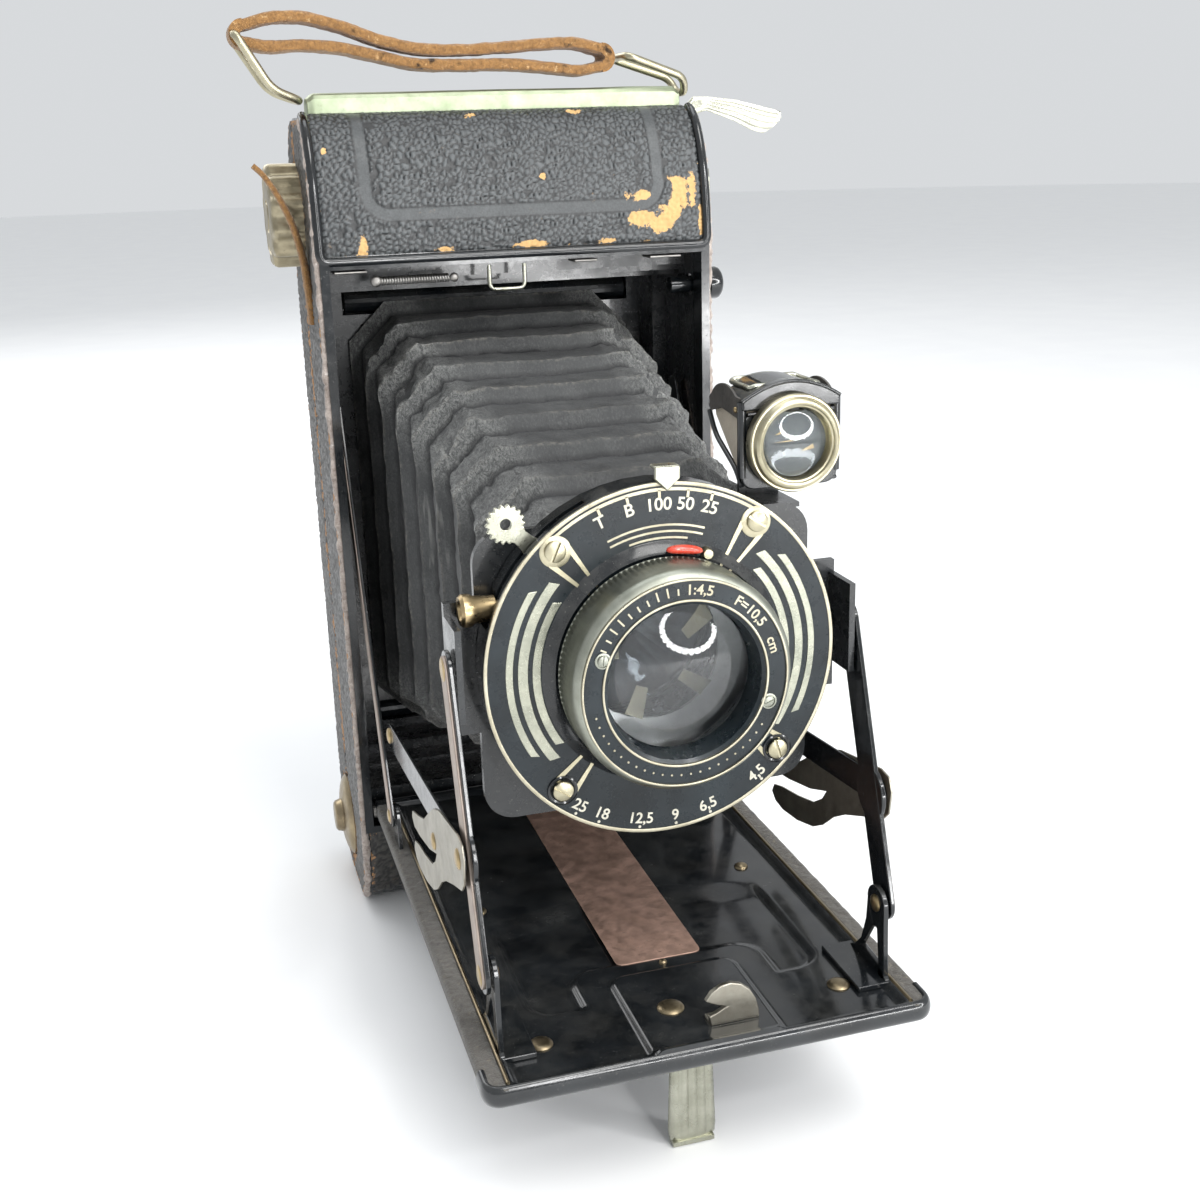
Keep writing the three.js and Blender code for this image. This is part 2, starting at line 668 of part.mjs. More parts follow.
// One loop of the bellows: a rectangle with cut corners, at a share of the way to the front.
function bellowsLoop(share, inset) {
  const halfWidth = 31 + (23 - 31) * share - inset;
  const halfHeight = 47 + (23.5 - 47) * share - inset;
  const y = BELLOWS_REAR + (BELLOWS_FRONT - BELLOWS_REAR) * share;
  const chamfer = CHAMFER - inset * 0.6;
  const quarter = [
    [halfWidth - chamfer, halfHeight],
    [halfWidth, halfHeight - chamfer],
  ];
  const turns = [
    [1, 1],
    [1, -1],
    [-1, -1],
    [-1, 1],
  ];
  return turns.flatMap(([sx, sz]) => {
    const pair = quarter.map(([x, z]) => new THREE.Vector3(sx * x, y, BELLOWS_Z + sz * z));
    return sx * sz > 0 ? pair : pair.reverse();
  });
}

function bellows() {
  const folds = PLEATS * 2;
  const outer = Array.from({ length: folds + 1 }, (_, i) =>
    bellowsLoop(i / folds, i % 2 === 0 ? 0 : PLEAT_DEPTH),
  );
  const inner = Array.from({ length: folds + 1 }, (_, i) =>
    bellowsLoop(i / folds, (i % 2 === 0 ? 0 : PLEAT_DEPTH) + 0.8),
  );
  const loops = [...outer, ...inner.reverse()];
  const corners = loops.flat();
  const around = loops[0].length;
  const faces = [];
  loops.forEach((_, i) => {
    const next = (i + 1) % loops.length;
    for (let k = 0; k < around; k += 1) {
      const a = i * around + k;
      const b = i * around + ((k + 1) % around);
      const c = next * around + ((k + 1) % around);
      const d = next * around + k;
      faces.push(a, b, c, a, c, d);
    }
  });
  const geometry = new THREE.BufferGeometry().setFromPoints(corners);
  geometry.setIndex(faces);
  const made = solid(geometry);
  if (made.volume() > 0) return made;
  geometry.setIndex([...faces].reverse());
  return solid(geometry);
}

const LENS = [LENS_Z, 0];
const atAngle = (degrees, radius) => {
  const angle = THREE.MathUtils.degToRad(degrees);
  return [LENS_Z + radius * Math.cos(angle), radius * Math.sin(angle)];
};

// A flat pointer in the lens plane, tapering outwards: degrees are clockwise from the top.
function pointer(degrees, [inner, outer], [wide, narrow], [from, to]) {
  const along = THREE.MathUtils.degToRad(degrees);
  const at = (radius, offset) => [
    LENS_Z + radius * Math.cos(along) - offset * Math.sin(along),
    radius * Math.sin(along) + offset * Math.cos(along),
  ];
  const shape = outline([at(inner, -wide), at(outer, -narrow), at(outer, narrow), at(inner, wide)]);
  const made = slab("y", shape, [from, to]);
  if (made.volume() > 0) return made;
  const turned = outline([at(inner, wide), at(outer, narrow), at(outer, -narrow), at(inner, -wide)]);
  return slab("y", turned, [from, to]);
}

// A part of a flat ring in the lens plane, between two clockwise angles from the top.
function sector([fromDegrees, toDegrees], [inner, outer], [from, to]) {
  const start = THREE.MathUtils.degToRad(fromDegrees);
  const end = THREE.MathUtils.degToRad(toDegrees);
  const shape = new THREE.Shape();
  shape.absarc(LENS_Z, 0, outer, start, end, false);
  shape.absarc(LENS_Z, 0, inner, end, start, true);
  return slab("y", shape, [from, to], 12);
}

const SPEED_ANGLE = 1.5;
const LEVER_ANGLE = -44.6;
const LEVER_PLANE = [-97.6, -96.8];
const SOCKET_Z = 91.4;
const SOCKET_Y = -96.4;

function addLens() {
  const plate = slab("y", rounded(28, 54.5, 102.5, 5), [STANDARD_FRONT, STANDARD_BACK], 4);
  const bracket = joined(
    box([19.5, 26.5], [STANDARD_FRONT, -83.4], [101.6, 102.4]),
    box([19.5, 26.5], [FINDER_BACK + 0.4, -83.4], [101.6, 118]),
  );
  const arms = [-1, 1].map((side) =>
    joined(
      box(sided(side, [20, EAR_X + 1]), [STANDARD_FRONT, STANDARD_BACK], [70, 92]),
      box(sided(side, [EAR_X, EAR_X + 1]), [-101, STANDARD_BACK], [75, 90]),
    ),
  );
  const throat = disc("y", LENS, [-FAR * 2, 0], 14.4, 32);
  add("lens_standard", cut(joined(plate, ...arms, bracket), throat), ENAMEL);
  add("bellows", bellows(), CLOTH);

  const slot = pointer(LEVER_ANGLE, [20, 34], [9, 12], [LEVER_PLANE[0] - GAP, LEVER_PLANE[1] + GAP]);
  const aperturePath = sector([134, 220], [21.5, 34], [-95.6, -94.4]);
  const shutterCase = cut(
    tube("y", LENS, [CASE_FRONT, CASE_BACK], CASE_R, 15.6, 48),
    slot,
    aperturePath,
    box([-FAR, -25.2], [-98, -93.2], [SOCKET_Z - 2.9, SOCKET_Z + 2.9]),
  );
  add("shutter_case", shutterCase, ENAMEL);
  add("shutter_face", tube("y", LENS, [FACE_FRONT, FACE_BACK], FACE_R, 16.2, 48), ENAMEL);
  const blades = tube("y", LENS, [-97.4, -96.9], 15.2, 9.2, 32);
  add("iris_blades", blades, STEEL);

  const [leverZ, leverX] = atAngle(LEVER_ANGLE, 33.4);
  const leverHead = disc("y", [leverZ, leverX], LEVER_PLANE, 2.9, 20);
  const leverArm = pointer(LEVER_ANGLE, [21.5, 33], [2.6, 1.6], LEVER_PLANE);
  const leverEye = disc("y", [leverZ, leverX], [-FAR * 2, 0], 0.9, 12);
  add("release_lever", cut(joined(leverHead, leverArm), leverEye), NICKEL);

  add("speed_pointer", joined(
    pointer(SPEED_ANGLE, [27.6, 29.6], [0.4, 2.1], [-102.2, -101.4]),
    pointer(SPEED_ANGLE, [29.4, 31.5], [2.1, 2.1], [-102.2, -101.4]),
    pointer(SPEED_ANGLE, [30.7, 31.5], [2.1, 2.1], [-102, -99.4]),
  ), NICKEL);
  add("aperture_pointer", pointer(139, [23, 30.6], [1.2, 0.8], [-95.3, -94.7]), NICKEL);

  const socket = tube("x", [SOCKET_Y, SOCKET_Z], [-31, -25.5], 2.6, 1.5, 20);
  add("cable_socket", socket.intersect(box([-FAR, -25.5], [-97.7, -90], [88, 95])), BRONZE);

  add("focus_ring", tube("y", LENS, [RING_FRONT + 0.6, -102.8], RING_R, CELL_R + GAP, 48), PEWTER);
  const cellProfile = [
    [CELL_R, -98.2],
    [CELL_R, RING_FRONT],
    [12.4, RING_FRONT],
    [GLASS_R + GAP, -110.6],
    [GLASS_R + GAP, -98.2],
  ];
  add("front_cell", turned("y", LENS, cellProfile.concat([cellProfile[0]]), 40), ENAMEL);
  const frontGlass = [
    [0, -105],
    [GLASS_R, -105],
    [GLASS_R, -107.6],
    [8, -109],
    [4, -109.8],
    [0, -110],
  ];
  add("front_glass", turned("y", LENS, frontGlass, 32), GLASS);
  add("rear_cell", tube("y", LENS, [-96.4, -85], 13, 10.8, 32), ENAMEL);
  const rearGlass = [
    [0, -89.5],
    [10.5, -88.4],
    [10.5, -86.4],
    [0, -85.4],
  ];
  add("rear_glass", turned("y", LENS, rearGlass, 28), GLASS);
}

// ---- brilliant finder ---------------------------------------------------------------------

function addFinder() {
  const left = FINDER_X - FINDER_HALF_WIDTH;
  const right = FINDER_X + FINDER_HALF_WIDTH;
  const low = FINDER_Z - FINDER_HALF_HEIGHT;
  const high = FINDER_Z + FINDER_HALF_HEIGHT;
  const shell = box([left, right], [FINDER_FRONT, FINDER_BACK], [low, high]);
  const wall = 0.9;
  const depth = [FINDER_FRONT + wall, FINDER_BACK - wall];
  const inside = box([left + wall, right - wall], depth, [low + wall, high + 1]);
  const eye = disc("y", [FINDER_Z - 1.2, FINDER_X], [-FAR * 2, FINDER_FRONT + 3], 6, 24);
  add("finder_body", cut(shell, inside, eye), ENAMEL);
  const eyeRing = [
    [7.4, FINDER_FRONT - 0.3],
    [7.7, -101],
    [6.9, -102],
    [5.9, -101.6],
    [5.7, FINDER_FRONT - 0.3],
  ];
  add("finder_ring", turned("y", [FINDER_Z - 1.2, FINDER_X], eyeRing.concat([eyeRing[0]]), 28), NICKEL);
  const lens = [
    [0, FINDER_FRONT - 0.4],
    [5.4, FINDER_FRONT - 0.4],
    [5.4, -100],
    [3, -100.9],
    [0, -101.2],
  ];
  add("finder_lens", turned("y", [FINDER_Z - 1.2, FINDER_X], lens, 24), GLASS);
  const glassDepth = [FINDER_FRONT + 1.3, FINDER_BACK - 1.3];
  add("finder_top_glass", box([left + 1.3, right - 1.3], glassDepth, [high - 1.6, high - 0.4]), GLASS);
}

addBody();
addDoor();
addFilmTransport();
addTop();
addBedLatch();
addBed();
addLinkage();
addLens();
addFinder();

export default group;
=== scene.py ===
"""Looks of a folding roll-film camera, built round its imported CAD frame. Lengths are in mm."""

import math

import bmesh
import bpy
import numpy as np
from mathutils import Matrix, Vector
from mathutils.geometry import delaunay_2d_cdt


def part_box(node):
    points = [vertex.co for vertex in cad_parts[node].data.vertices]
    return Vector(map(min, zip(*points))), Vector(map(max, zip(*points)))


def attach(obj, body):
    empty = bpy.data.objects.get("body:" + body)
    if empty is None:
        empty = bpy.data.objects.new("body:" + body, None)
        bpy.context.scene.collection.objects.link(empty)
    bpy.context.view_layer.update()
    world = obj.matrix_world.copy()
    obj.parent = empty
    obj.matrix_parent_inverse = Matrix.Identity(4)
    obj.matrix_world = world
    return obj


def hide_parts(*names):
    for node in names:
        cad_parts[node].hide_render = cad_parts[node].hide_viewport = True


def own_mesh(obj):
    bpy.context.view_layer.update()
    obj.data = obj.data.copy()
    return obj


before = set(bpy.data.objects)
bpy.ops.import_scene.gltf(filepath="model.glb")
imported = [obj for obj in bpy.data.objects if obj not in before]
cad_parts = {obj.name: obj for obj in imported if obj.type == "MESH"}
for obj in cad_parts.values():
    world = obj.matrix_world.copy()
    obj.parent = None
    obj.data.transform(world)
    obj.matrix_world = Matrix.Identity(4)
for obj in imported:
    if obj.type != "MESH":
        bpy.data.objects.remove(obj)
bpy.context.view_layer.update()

MM = 0.001
AXES = {"x": 0, "y": 1, "z": 2}
# The height of the lens axis over the ground.
LENS_Z = 80.9
# Where the view of the photo is taken from, its yaw, pitch and roll in degrees, and its lens.
EYE = (-71.54, -309.55, 160.01)
EYE_TURNS = (16.42, -17.30, -1.71)
FOCAL_LENGTH = 44.72
SENSOR_WIDTH = 36
NEAR_CLIP = 0.01


# ---- camera, lights, floor ------------------------------------------------------------------

def place(obj):
    bpy.context.scene.collection.objects.link(obj)
    return obj


def add_camera():
    yaw, pitch, roll = (math.radians(a) for a in EYE_TURNS)
    forward = Vector((math.sin(yaw) * math.cos(pitch), math.cos(yaw) * math.cos(pitch), math.sin(pitch)))
    level = Vector((math.cos(yaw), -math.sin(yaw), 0))
    above = level.cross(forward)
    right = level * math.cos(roll) + above * math.sin(roll)
    up = -level * math.sin(roll) + above * math.cos(roll)
    data = bpy.data.cameras.new("camera")
    data.sensor_width = SENSOR_WIDTH
    data.lens = FOCAL_LENGTH
    data.clip_start = NEAR_CLIP
    camera = place(bpy.data.objects.new("camera", data))
    turn = Matrix((right, up, -forward)).transposed().to_4x4()
    camera.matrix_world = Matrix.Translation(Vector(EYE) * MM) @ turn
    bpy.context.scene.camera = camera


def area_light(name, at, towards, size, power, colour=(1, 1, 1), shape="RECTANGLE", size_y=None):
    data = bpy.data.lights.new(name, "AREA")
    data.shape = shape
    data.size = size
    if size_y:
        data.size_y = size_y
    data.energy = power
    data.color = colour
    light = place(bpy.data.objects.new(name, data))
    light.location = at
    light.rotation_euler = (Vector(towards) - Vector(at)).to_track_quat("-Z", "Y").to_euler()


def ring_light(name, at, towards, radius, count, size, power):
    """A ring of small round lamps, which glass shows as a bright circle."""
    forward = (towards - at).normalized()
    across = forward.cross(Vector((0, 0, 1))).normalized()
    over = across.cross(forward)
    for i in range(count):
        turn = 2 * math.pi * i / count
        spot = at + (across * math.cos(turn) + over * math.sin(turn)) * radius
        area_light(f"{name}_{i}", spot, spot + forward, size, power, shape="DISK")


def add_lights():
    world = bpy.data.worlds.new("studio")
    bpy.context.scene.world = world
    world.use_nodes = True
    sky = world.node_tree.nodes["Background"].inputs
    sky["Color"].default_value = (0.95, 0.975, 1.0, 1)
    sky["Strength"].default_value = 0.72
    bpy.context.scene.view_settings.view_transform = "Standard"
    middle = Vector((0, -0.05, 0.08))
    area_light("key", (0.25, -0.62, 1.0), middle, 0.5, 5, (1, 0.99, 0.97), size_y=0.4)
    area_light("overhead", (0.0, 0.15, 1.0), middle, 0.6, 2.6, (0.94, 0.97, 1), size_y=0.5)
    area_light("back", (-0.3, 0.8, 0.7), middle, 0.8, 3.5, size_y=0.6)
    lens = Vector((0, -0.11, LENS_Z * MM))
    lamps, lamp_size, lamp_power, circle = 30, 0.045, 0.12, 0.19
    ring_light("ring", lens + Vector((0.22, -0.43, 0.15)), lens, circle, lamps, lamp_size, lamp_power)


def add_floor():
    """A wide round sheet of pale paper, just below the feet."""
    mesh = bmesh.new()
    bmesh.ops.create_circle(mesh, cap_ends=True, segments=96, radius=4)
    data = bpy.data.meshes.new("floor")
    mesh.to_mesh(data)
    mesh.free()
    floor = place(bpy.data.objects.new("floor", data))
    floor.location.z = -0.0002
    look = Look("floor_paper", rough=0.9, spec=0.2)
    tone = look.ramp(look.noise(40, detail=3), (0.3, (0.90, 0.905, 0.91)), (0.7, (0.925, 0.93, 0.93)))
    look.paint(tone)
    data.materials.append(look.mat)


# ---- materials ------------------------------------------------------------------------------

class Look:
    """One procedural material. Sizes are in mm and colours are linear."""

    def __init__(self, name, rough=0.5, metal=0.0, spec=0.5, coat=0.0, coat_rough=0.1, sheen=0.0, ior=1.5,
                 glass=0.0):
        self.mat = bpy.data.materials.new(name)
        self.mat.use_nodes = True
        self.tree = self.mat.node_tree
        self.shader = self.tree.nodes["Principled BSDF"]
        fixed = {
            "Roughness": rough, "Metallic": metal, "Specular IOR Level": spec, "Coat Weight": coat,
            "Coat Roughness": coat_rough, "Sheen Weight": sheen, "IOR": ior, "Transmission Weight": glass,
        }
        for socket, value in fixed.items():
            self.shader.inputs[socket].default_value = value
        self.spot = self.tree.nodes.new("ShaderNodeTexCoord").outputs["Object"]
        self.normal = None

    def node(self, kind, inputs=(), **settings):
        made = self.tree.nodes.new(kind)
        for key, value in settings.items():
            setattr(made, key, value)
        for socket, value in dict(inputs).items():
            if isinstance(value, bpy.types.NodeSocket):
                self.tree.links.new(value, made.inputs[socket])
            else:
                made.inputs[socket].default_value = value
        return made

    def stretched(self, stretch):
        if stretch is None:
            return self.spot
        made = self.node("ShaderNodeVectorMath", {0: self.spot, 1: stretch}, operation="MULTIPLY")
        return made.outputs[0]

    def noise(self, size, detail=4, rough=0.55, distortion=0.0, stretch=None):
        made = self.node("ShaderNodeTexNoise", {
            "Vector": self.stretched(stretch), "Scale": 1 / (size * MM), "Detail": detail,
            "Roughness": rough, "Distortion": distortion,
        })
        return made.outputs[0]

    def attribute(self, name):
        return self.node("ShaderNodeAttribute", attribute_name=name).outputs["Fac"]

    def ramp(self, value, *stops):
        made = self.node("ShaderNodeValToRGB", {0: value})
        marks = made.color_ramp.elements
        while len(marks) < len(stops):
            marks.new(0.5)
        for mark, (position, colour) in zip(marks, stops):
            mark.position = position
            mark.color = (*colour, 1)
        return made.outputs[0]

    def span(self, value, low, high, to_low=0.0, to_high=1.0):
        made = self.node("ShaderNodeMapRange", {0: value, 1: low, 2: high, 3: to_low, 4: to_high},
                         clamp=True)
        return made.outputs[0]

    def sum(self, operation, a, b):
        return self.node("ShaderNodeMath", {0: a, 1: b}, operation=operation).outputs[0]

    def mixed(self, share, a, b):
        made = self.node("ShaderNodeMix", data_type="RGBA")
        for socket, value in ((0, share), (6, a), (7, b)):
            if isinstance(value, bpy.types.NodeSocket):
                self.tree.links.new(value, made.inputs[socket])
            elif isinstance(value, tuple):
                made.inputs[socket].default_value = (*value, 1)
            else:
                made.inputs[socket].default_value = value
        return made.outputs[2]

    def facing_up(self, low, high):
        normal = self.node("ShaderNodeNewGeometry").outputs["Normal"]
        apart = self.node("ShaderNodeSeparateXYZ", {0: normal}).outputs[2]
        return self.span(apart, low, high)

    def bump(self, height, depth, strength=1.0):
        inputs = {"Height": height, "Distance": depth * MM, "Strength": strength}
        if self.normal is not None:
            inputs["Normal"] = self.normal
        self.normal = self.node("ShaderNodeBump", inputs).outputs[0]

    def paint(self, colour=None, rough=None):
        for socket, value in (("Base Color", colour), ("Roughness", rough), ("Normal", self.normal)):
            if value is not None:
                self.tree.links.new(value, self.shader.inputs[socket])
        return self.mat


DUST = (0.30, 0.29, 0.26)


def dusty(look, colour, rough, amount):
    """Adds specks and a thin film of dust to a dark surface."""
    specks = look.span(look.noise(0.45, detail=2, rough=0.7), 0.66, 0.72)
    film = look.span(look.noise(7, detail=5, rough=0.65), 0.42, 0.75, 0.0, 0.35 * amount)
    film = look.sum("MULTIPLY", film, look.facing_up(-0.2, 0.9))
    share = look.sum("MAXIMUM", look.sum("MULTIPLY", specks, 0.5 * amount), film)
    return look.mixed(share, colour, DUST), look.sum("MAXIMUM", rough, look.span(share, 0, 0.6, 0.1, 0.85))


def enamel(name, base, gloss, dust, spec=0.45, coat=0.35):
    """Black enamel with a slightly uneven gloss and some dust."""
    look = Look(name, rough=gloss, spec=spec, coat=coat, coat_rough=0.08)
    tone = look.ramp(look.noise(9, detail=5), (0.35, base), (0.75, tuple(c * 2.4 + 0.004 for c in base)))
    rough = look.span(look.noise(3.5, detail=6, rough=0.7), 0.35, 0.75, gloss * 0.7, gloss * 2.2)
    look.bump(look.noise(1.6, detail=3), 0.012)
    tone, rough = dusty(look, tone, rough, dust)
    return look.paint(tone, rough)


def leather(name, dark, pale, worn, wear=0.5):
    """Pebbled leather: creases painted dark as painted shade, crowns painted paler partly as rubbing and
    partly as a painted highlight, and bare hide where the wear attribute is high.
    """
    look = Look(name, rough=0.5, spec=0.55, sheen=0.05)
    pores = look.span(look.noise(0.4, detail=4, rough=0.7), 0.3, 0.7, -0.2, 0.2)
    relief = look.sum("ADD", look.attribute("relief"), pores)
    tone = look.mixed(look.span(look.noise(16, detail=4), 0.35, 0.7, 0, 0.3), dark, pale)
    # Painted shade and highlight: low relief (the creases) goes to a dark copy of the base, and high relief
    # (the crowns) goes towards the pale tone.
    tone = look.mixed(look.span(relief, 0.25, 0.95, 0, 0.85), tuple(c * 0.35 for c in dark),
                      look.mixed(0.45, tone, pale))
    hide = look.mixed(look.noise(1.6, detail=7, rough=0.75), worn, tuple(c * 0.55 for c in worn))
    scuffs = look.span(look.noise(2.4, detail=7, rough=0.78), 0.68 - 0.06 * wear, 0.76)
    tone = look.mixed(look.sum("MULTIPLY", scuffs, 0.55 * wear), tone, hide)
    ragged = look.span(look.noise(0.9, detail=6, rough=0.7), 0.3, 0.7, -0.28, 0.28)
    rub = look.sum("ADD", look.attribute("wear"), ragged)
    bare = look.span(rub, 0.47, 0.56)
    tone = look.mixed(bare, tone, hide)
    rough = look.span(look.noise(1.4, detail=6, rough=0.7), 0.3, 0.7, 0.3, 0.55)
    rough = look.sum("MAXIMUM", rough, look.span(bare, 0, 1, 0.2, 0.85))
    look.bump(look.noise(0.3, detail=4, rough=0.6), 0.04, 0.6)
    return look.paint(tone, rough)


def metal(name, bright, dull, low=0.2, high=0.45, spots=0.4):
    """Old plated or plain metal: two tones in clouds, dark stains, and fine scratches along z."""
    look = Look(name, metal=1.0, rough=low)
    cloud = look.noise(5, detail=6, rough=0.65)
    tone = look.mixed(look.span(cloud, 0.3, 0.75), bright, dull)
    stain = look.span(look.noise(1.3, detail=5, rough=0.75), 0.62, 0.75, 0, spots)
    tone = look.mixed(stain, tone, tuple(c * 0.35 for c in dull))
    rough = look.span(look.noise(2.6, detail=6, rough=0.7), 0.3, 0.75, low, high)
    look.bump(look.noise(0.25, detail=3, stretch=(1, 1, 6)), 0.01, 0.7)
    look.bump(look.noise(2.2, detail=3), 0.02, 0.5)
    return look.paint(tone, rough)


def cloth(name):
    """Leathercloth: dark folds, scratches across the pleats, frayed corners, rubbed ridges, and creases
    painted near black as painted shade.
    """
    look = Look(name, rough=0.6, spec=0.5, sheen=0.05)
    tone = look.mixed(look.span(look.noise(10, detail=6, rough=0.65), 0.3, 0.7), (0.016, 0.017, 0.018),
                      (0.050, 0.052, 0.052))
    grain = look.span(look.noise(0.35, detail=5, rough=0.8, stretch=(1, 0.35, 0.6)), 0.5, 0.72, 0, 0.4)
    tone = look.mixed(grain, tone, (0.15, 0.152, 0.148))
    scratch = look.span(look.noise(3.0, detail=3, rough=0.6, stretch=(1, 0.03, 0.12)), 0.66, 0.70, 0, 0.5)
    scratch = look.sum("MULTIPLY", scratch, look.span(look.noise(9, detail=2), 0.45, 0.6))
    tone = look.mixed(scratch, tone, (0.24, 0.24, 0.225))
    fray = look.noise(1.1, detail=8, rough=0.85, distortion=2.0, stretch=(1.5, 0.6, 1))
    fuzz = look.sum("MULTIPLY", look.attribute("fuzz"), look.span(fray, 0.44, 0.60))
    tone = look.mixed(fuzz, tone, (0.36, 0.365, 0.35))
    thread = look.sum("MULTIPLY", look.attribute("ridge"),
                      look.span(look.noise(0.8, detail=5, rough=0.7), 0.45, 0.6))
    tone = look.mixed(look.sum("MULTIPLY", thread, 0.5), tone, (0.26, 0.24, 0.20))
    # Painted shade: the fold valleys are painted near black.
    tone = look.mixed(look.sum("MULTIPLY", look.attribute("crease"), 0.9), tone, (0.004, 0.004, 0.005))
    look.bump(look.noise(0.6, detail=6, rough=0.8, distortion=1.0), 0.16, 0.7)
    look.bump(look.noise(4.5, detail=5, rough=0.6, stretch=(1, 0.35, 0.5)), 0.9, 0.6)
    look.bump(look.sum("MULTIPLY", look.attribute("fuzz"), fray), 0.5, 0.9)
    return look.paint(tone, look.span(look.noise(5, detail=4), 0.3, 0.7, 0.36, 0.7))


def hide_edge(name, low, high, fleck=(0.46, 0.40, 0.34), size=1.2):
    """Rough cut leather: brown fibres with pale flecks."""
    look = Look(name, rough=0.85, spec=0.25, sheen=0.3)
    fibre = look.noise(size, detail=8, rough=0.75, distortion=0.6)
    tone = look.mixed(look.span(fibre, 0.3, 0.7), low, high)
    tone = look.mixed(look.span(look.noise(size * 1.7, detail=6, rough=0.8), 0.58, 0.7), tone, fleck)
    tone = look.mixed(look.span(look.noise(size * 3, detail=4), 0.62, 0.74), tone,
                      tuple(c * 0.25 for c in low))
    look.bump(fibre, 0.35, 0.9)
    look.bump(look.noise(0.22, detail=3), 0.06, 0.8)
    return look.paint(tone, look.span(fibre, 0.3, 0.7, 0.7, 0.95))


def clear(name, tint, rough=0.02, ior=1.5):
    look = Look(name, rough=rough, glass=1.0, ior=ior)
    smear = look.span(look.noise(4, detail=5), 0.45, 0.8, rough, rough + 0.06)
    tone = look.mixed(look.noise(9, detail=3), tint, tuple(c * 0.94 for c in tint))
    return look.paint(tone, smear)


ENAMEL = enamel("black_enamel", base=(0.003, 0.004, 0.005), gloss=0.13, dust=0.3)
DUSTY = enamel("dusty_enamel", base=(0.006, 0.007, 0.008), gloss=0.22, dust=0.6)
DIAL = enamel("dial_enamel", base=(0.004, 0.007, 0.009), gloss=0.25, dust=0.12, spec=0.3, coat=0.1)
FRONT_HIDE = leather("front_leather", (0.024, 0.027, 0.029), (0.13, 0.142, 0.146), (0.80, 0.50, 0.21),
                     wear=0.6)
SIDE_HIDE = leather("side_leather", (0.020, 0.019, 0.018), (0.085, 0.078, 0.068), (0.50, 0.27, 0.12),
                    wear=1.0)
BACK_HIDE = leather("back_leather", (0.026, 0.026, 0.026), (0.10, 0.10, 0.10), (0.45, 0.29, 0.16), wear=0.6)
NICKEL = metal("nickel", (0.50, 0.50, 0.42), (0.29, 0.29, 0.23))
PALE_NICKEL = metal("pale_nickel", (0.43, 0.47, 0.35), (0.29, 0.34, 0.22), low=0.42, high=0.6, spots=0.45)
CREAM_NICKEL = metal("cream_nickel", (0.52, 0.48, 0.35), (0.33, 0.30, 0.20), low=0.26, high=0.44)
KNOB_METAL = metal("knob_metal", (0.42, 0.37, 0.26), (0.20, 0.17, 0.11), low=0.28, high=0.5, spots=0.6)
STRIP_METAL = metal("beige_nickel", (0.44, 0.37, 0.32), (0.30, 0.25, 0.22), low=0.4, high=0.6, spots=0.3)
BRASS = metal("brass", (0.50, 0.38, 0.21), (0.29, 0.22, 0.12))
BRONZE = metal("bronze", (0.36, 0.29, 0.18), (0.19, 0.15, 0.10), low=0.25, high=0.5)
STEEL = metal("steel", (0.34, 0.33, 0.31), (0.19, 0.18, 0.17), low=0.3, high=0.55)
PEWTER = metal("pewter", (0.36, 0.37, 0.32), (0.23, 0.24, 0.20), low=0.35, high=0.55)
MARKS = metal("mark_metal", (0.50, 0.47, 0.37), (0.30, 0.27, 0.19), low=0.35, high=0.5, spots=0.3)
BLADES = metal("blade_metal", (0.16, 0.14, 0.09), (0.07, 0.065, 0.05), low=0.3, high=0.5)
FIGURES = metal("figure_paint", (0.62, 0.60, 0.52), (0.50, 0.48, 0.40), low=0.5, high=0.7, spots=0.2)
BELLOWS_CLOTH = cloth("bellows_cloth")
PALE_EDGE = hide_edge("pale_edge", (0.17, 0.13, 0.11), (0.56, 0.49, 0.44), fleck=(0.78, 0.74, 0.70),
                      size=1.5)
STRAP_HIDE = hide_edge("strap_hide", (0.14, 0.07, 0.025), (0.42, 0.22, 0.075), fleck=(0.68, 0.45, 0.22),
                       size=0.8)
FLANGE_HIDE = hide_edge("bed_edge_hide", (0.055, 0.050, 0.042), (0.11, 0.10, 0.085),
                        fleck=(0.26, 0.22, 0.15), size=0.7)
GLASS = clear("lens_glass", (0.90, 0.94, 0.97), ior=1.52)
BAND_METAL = metal("band_nickel", (0.42, 0.42, 0.34), (0.22, 0.23, 0.19), low=0.18, high=0.4)
PLATE_METAL = metal("plate_metal", (0.40, 0.38, 0.32), (0.26, 0.24, 0.20), low=0.3, high=0.5, spots=0.5)
# The runner is a worn strip whose colour is brightened as a painted window reflection.
RUNNER_WEAR_AND_REFLECTION = metal("runner_wear_and_painted_reflection", (0.78, 0.54, 0.44), (0.46, 0.31, 0.24), low=0.5, high=0.8, spots=0.9)
BED_ENAMEL = enamel("bed_enamel", base=(0.005, 0.006, 0.007), gloss=0.14, dust=0.25)
MATT_BROWN = enamel("matt_brown", base=(0.030, 0.026, 0.022), gloss=0.5, dust=0.3)
# Used only for the dark disc of painted shade behind the finder lens.
FINDER_SHADE = enamel("finder_shade_black", base=(0.05, 0.055, 0.05), gloss=0.4, dust=0.6)
BEIGE = hide_edge("beige_paint", (0.36, 0.31, 0.24), (0.46, 0.40, 0.31), fleck=(0.54, 0.48, 0.39), size=3)
PANE = clear("finder_pane", (0.92, 0.95, 0.93), rough=0.05)
RED_GLASS = clear("red_glass", (0.55, 0.03, 0.02))


# ---- shapes ---------------------------------------------------------------------------------

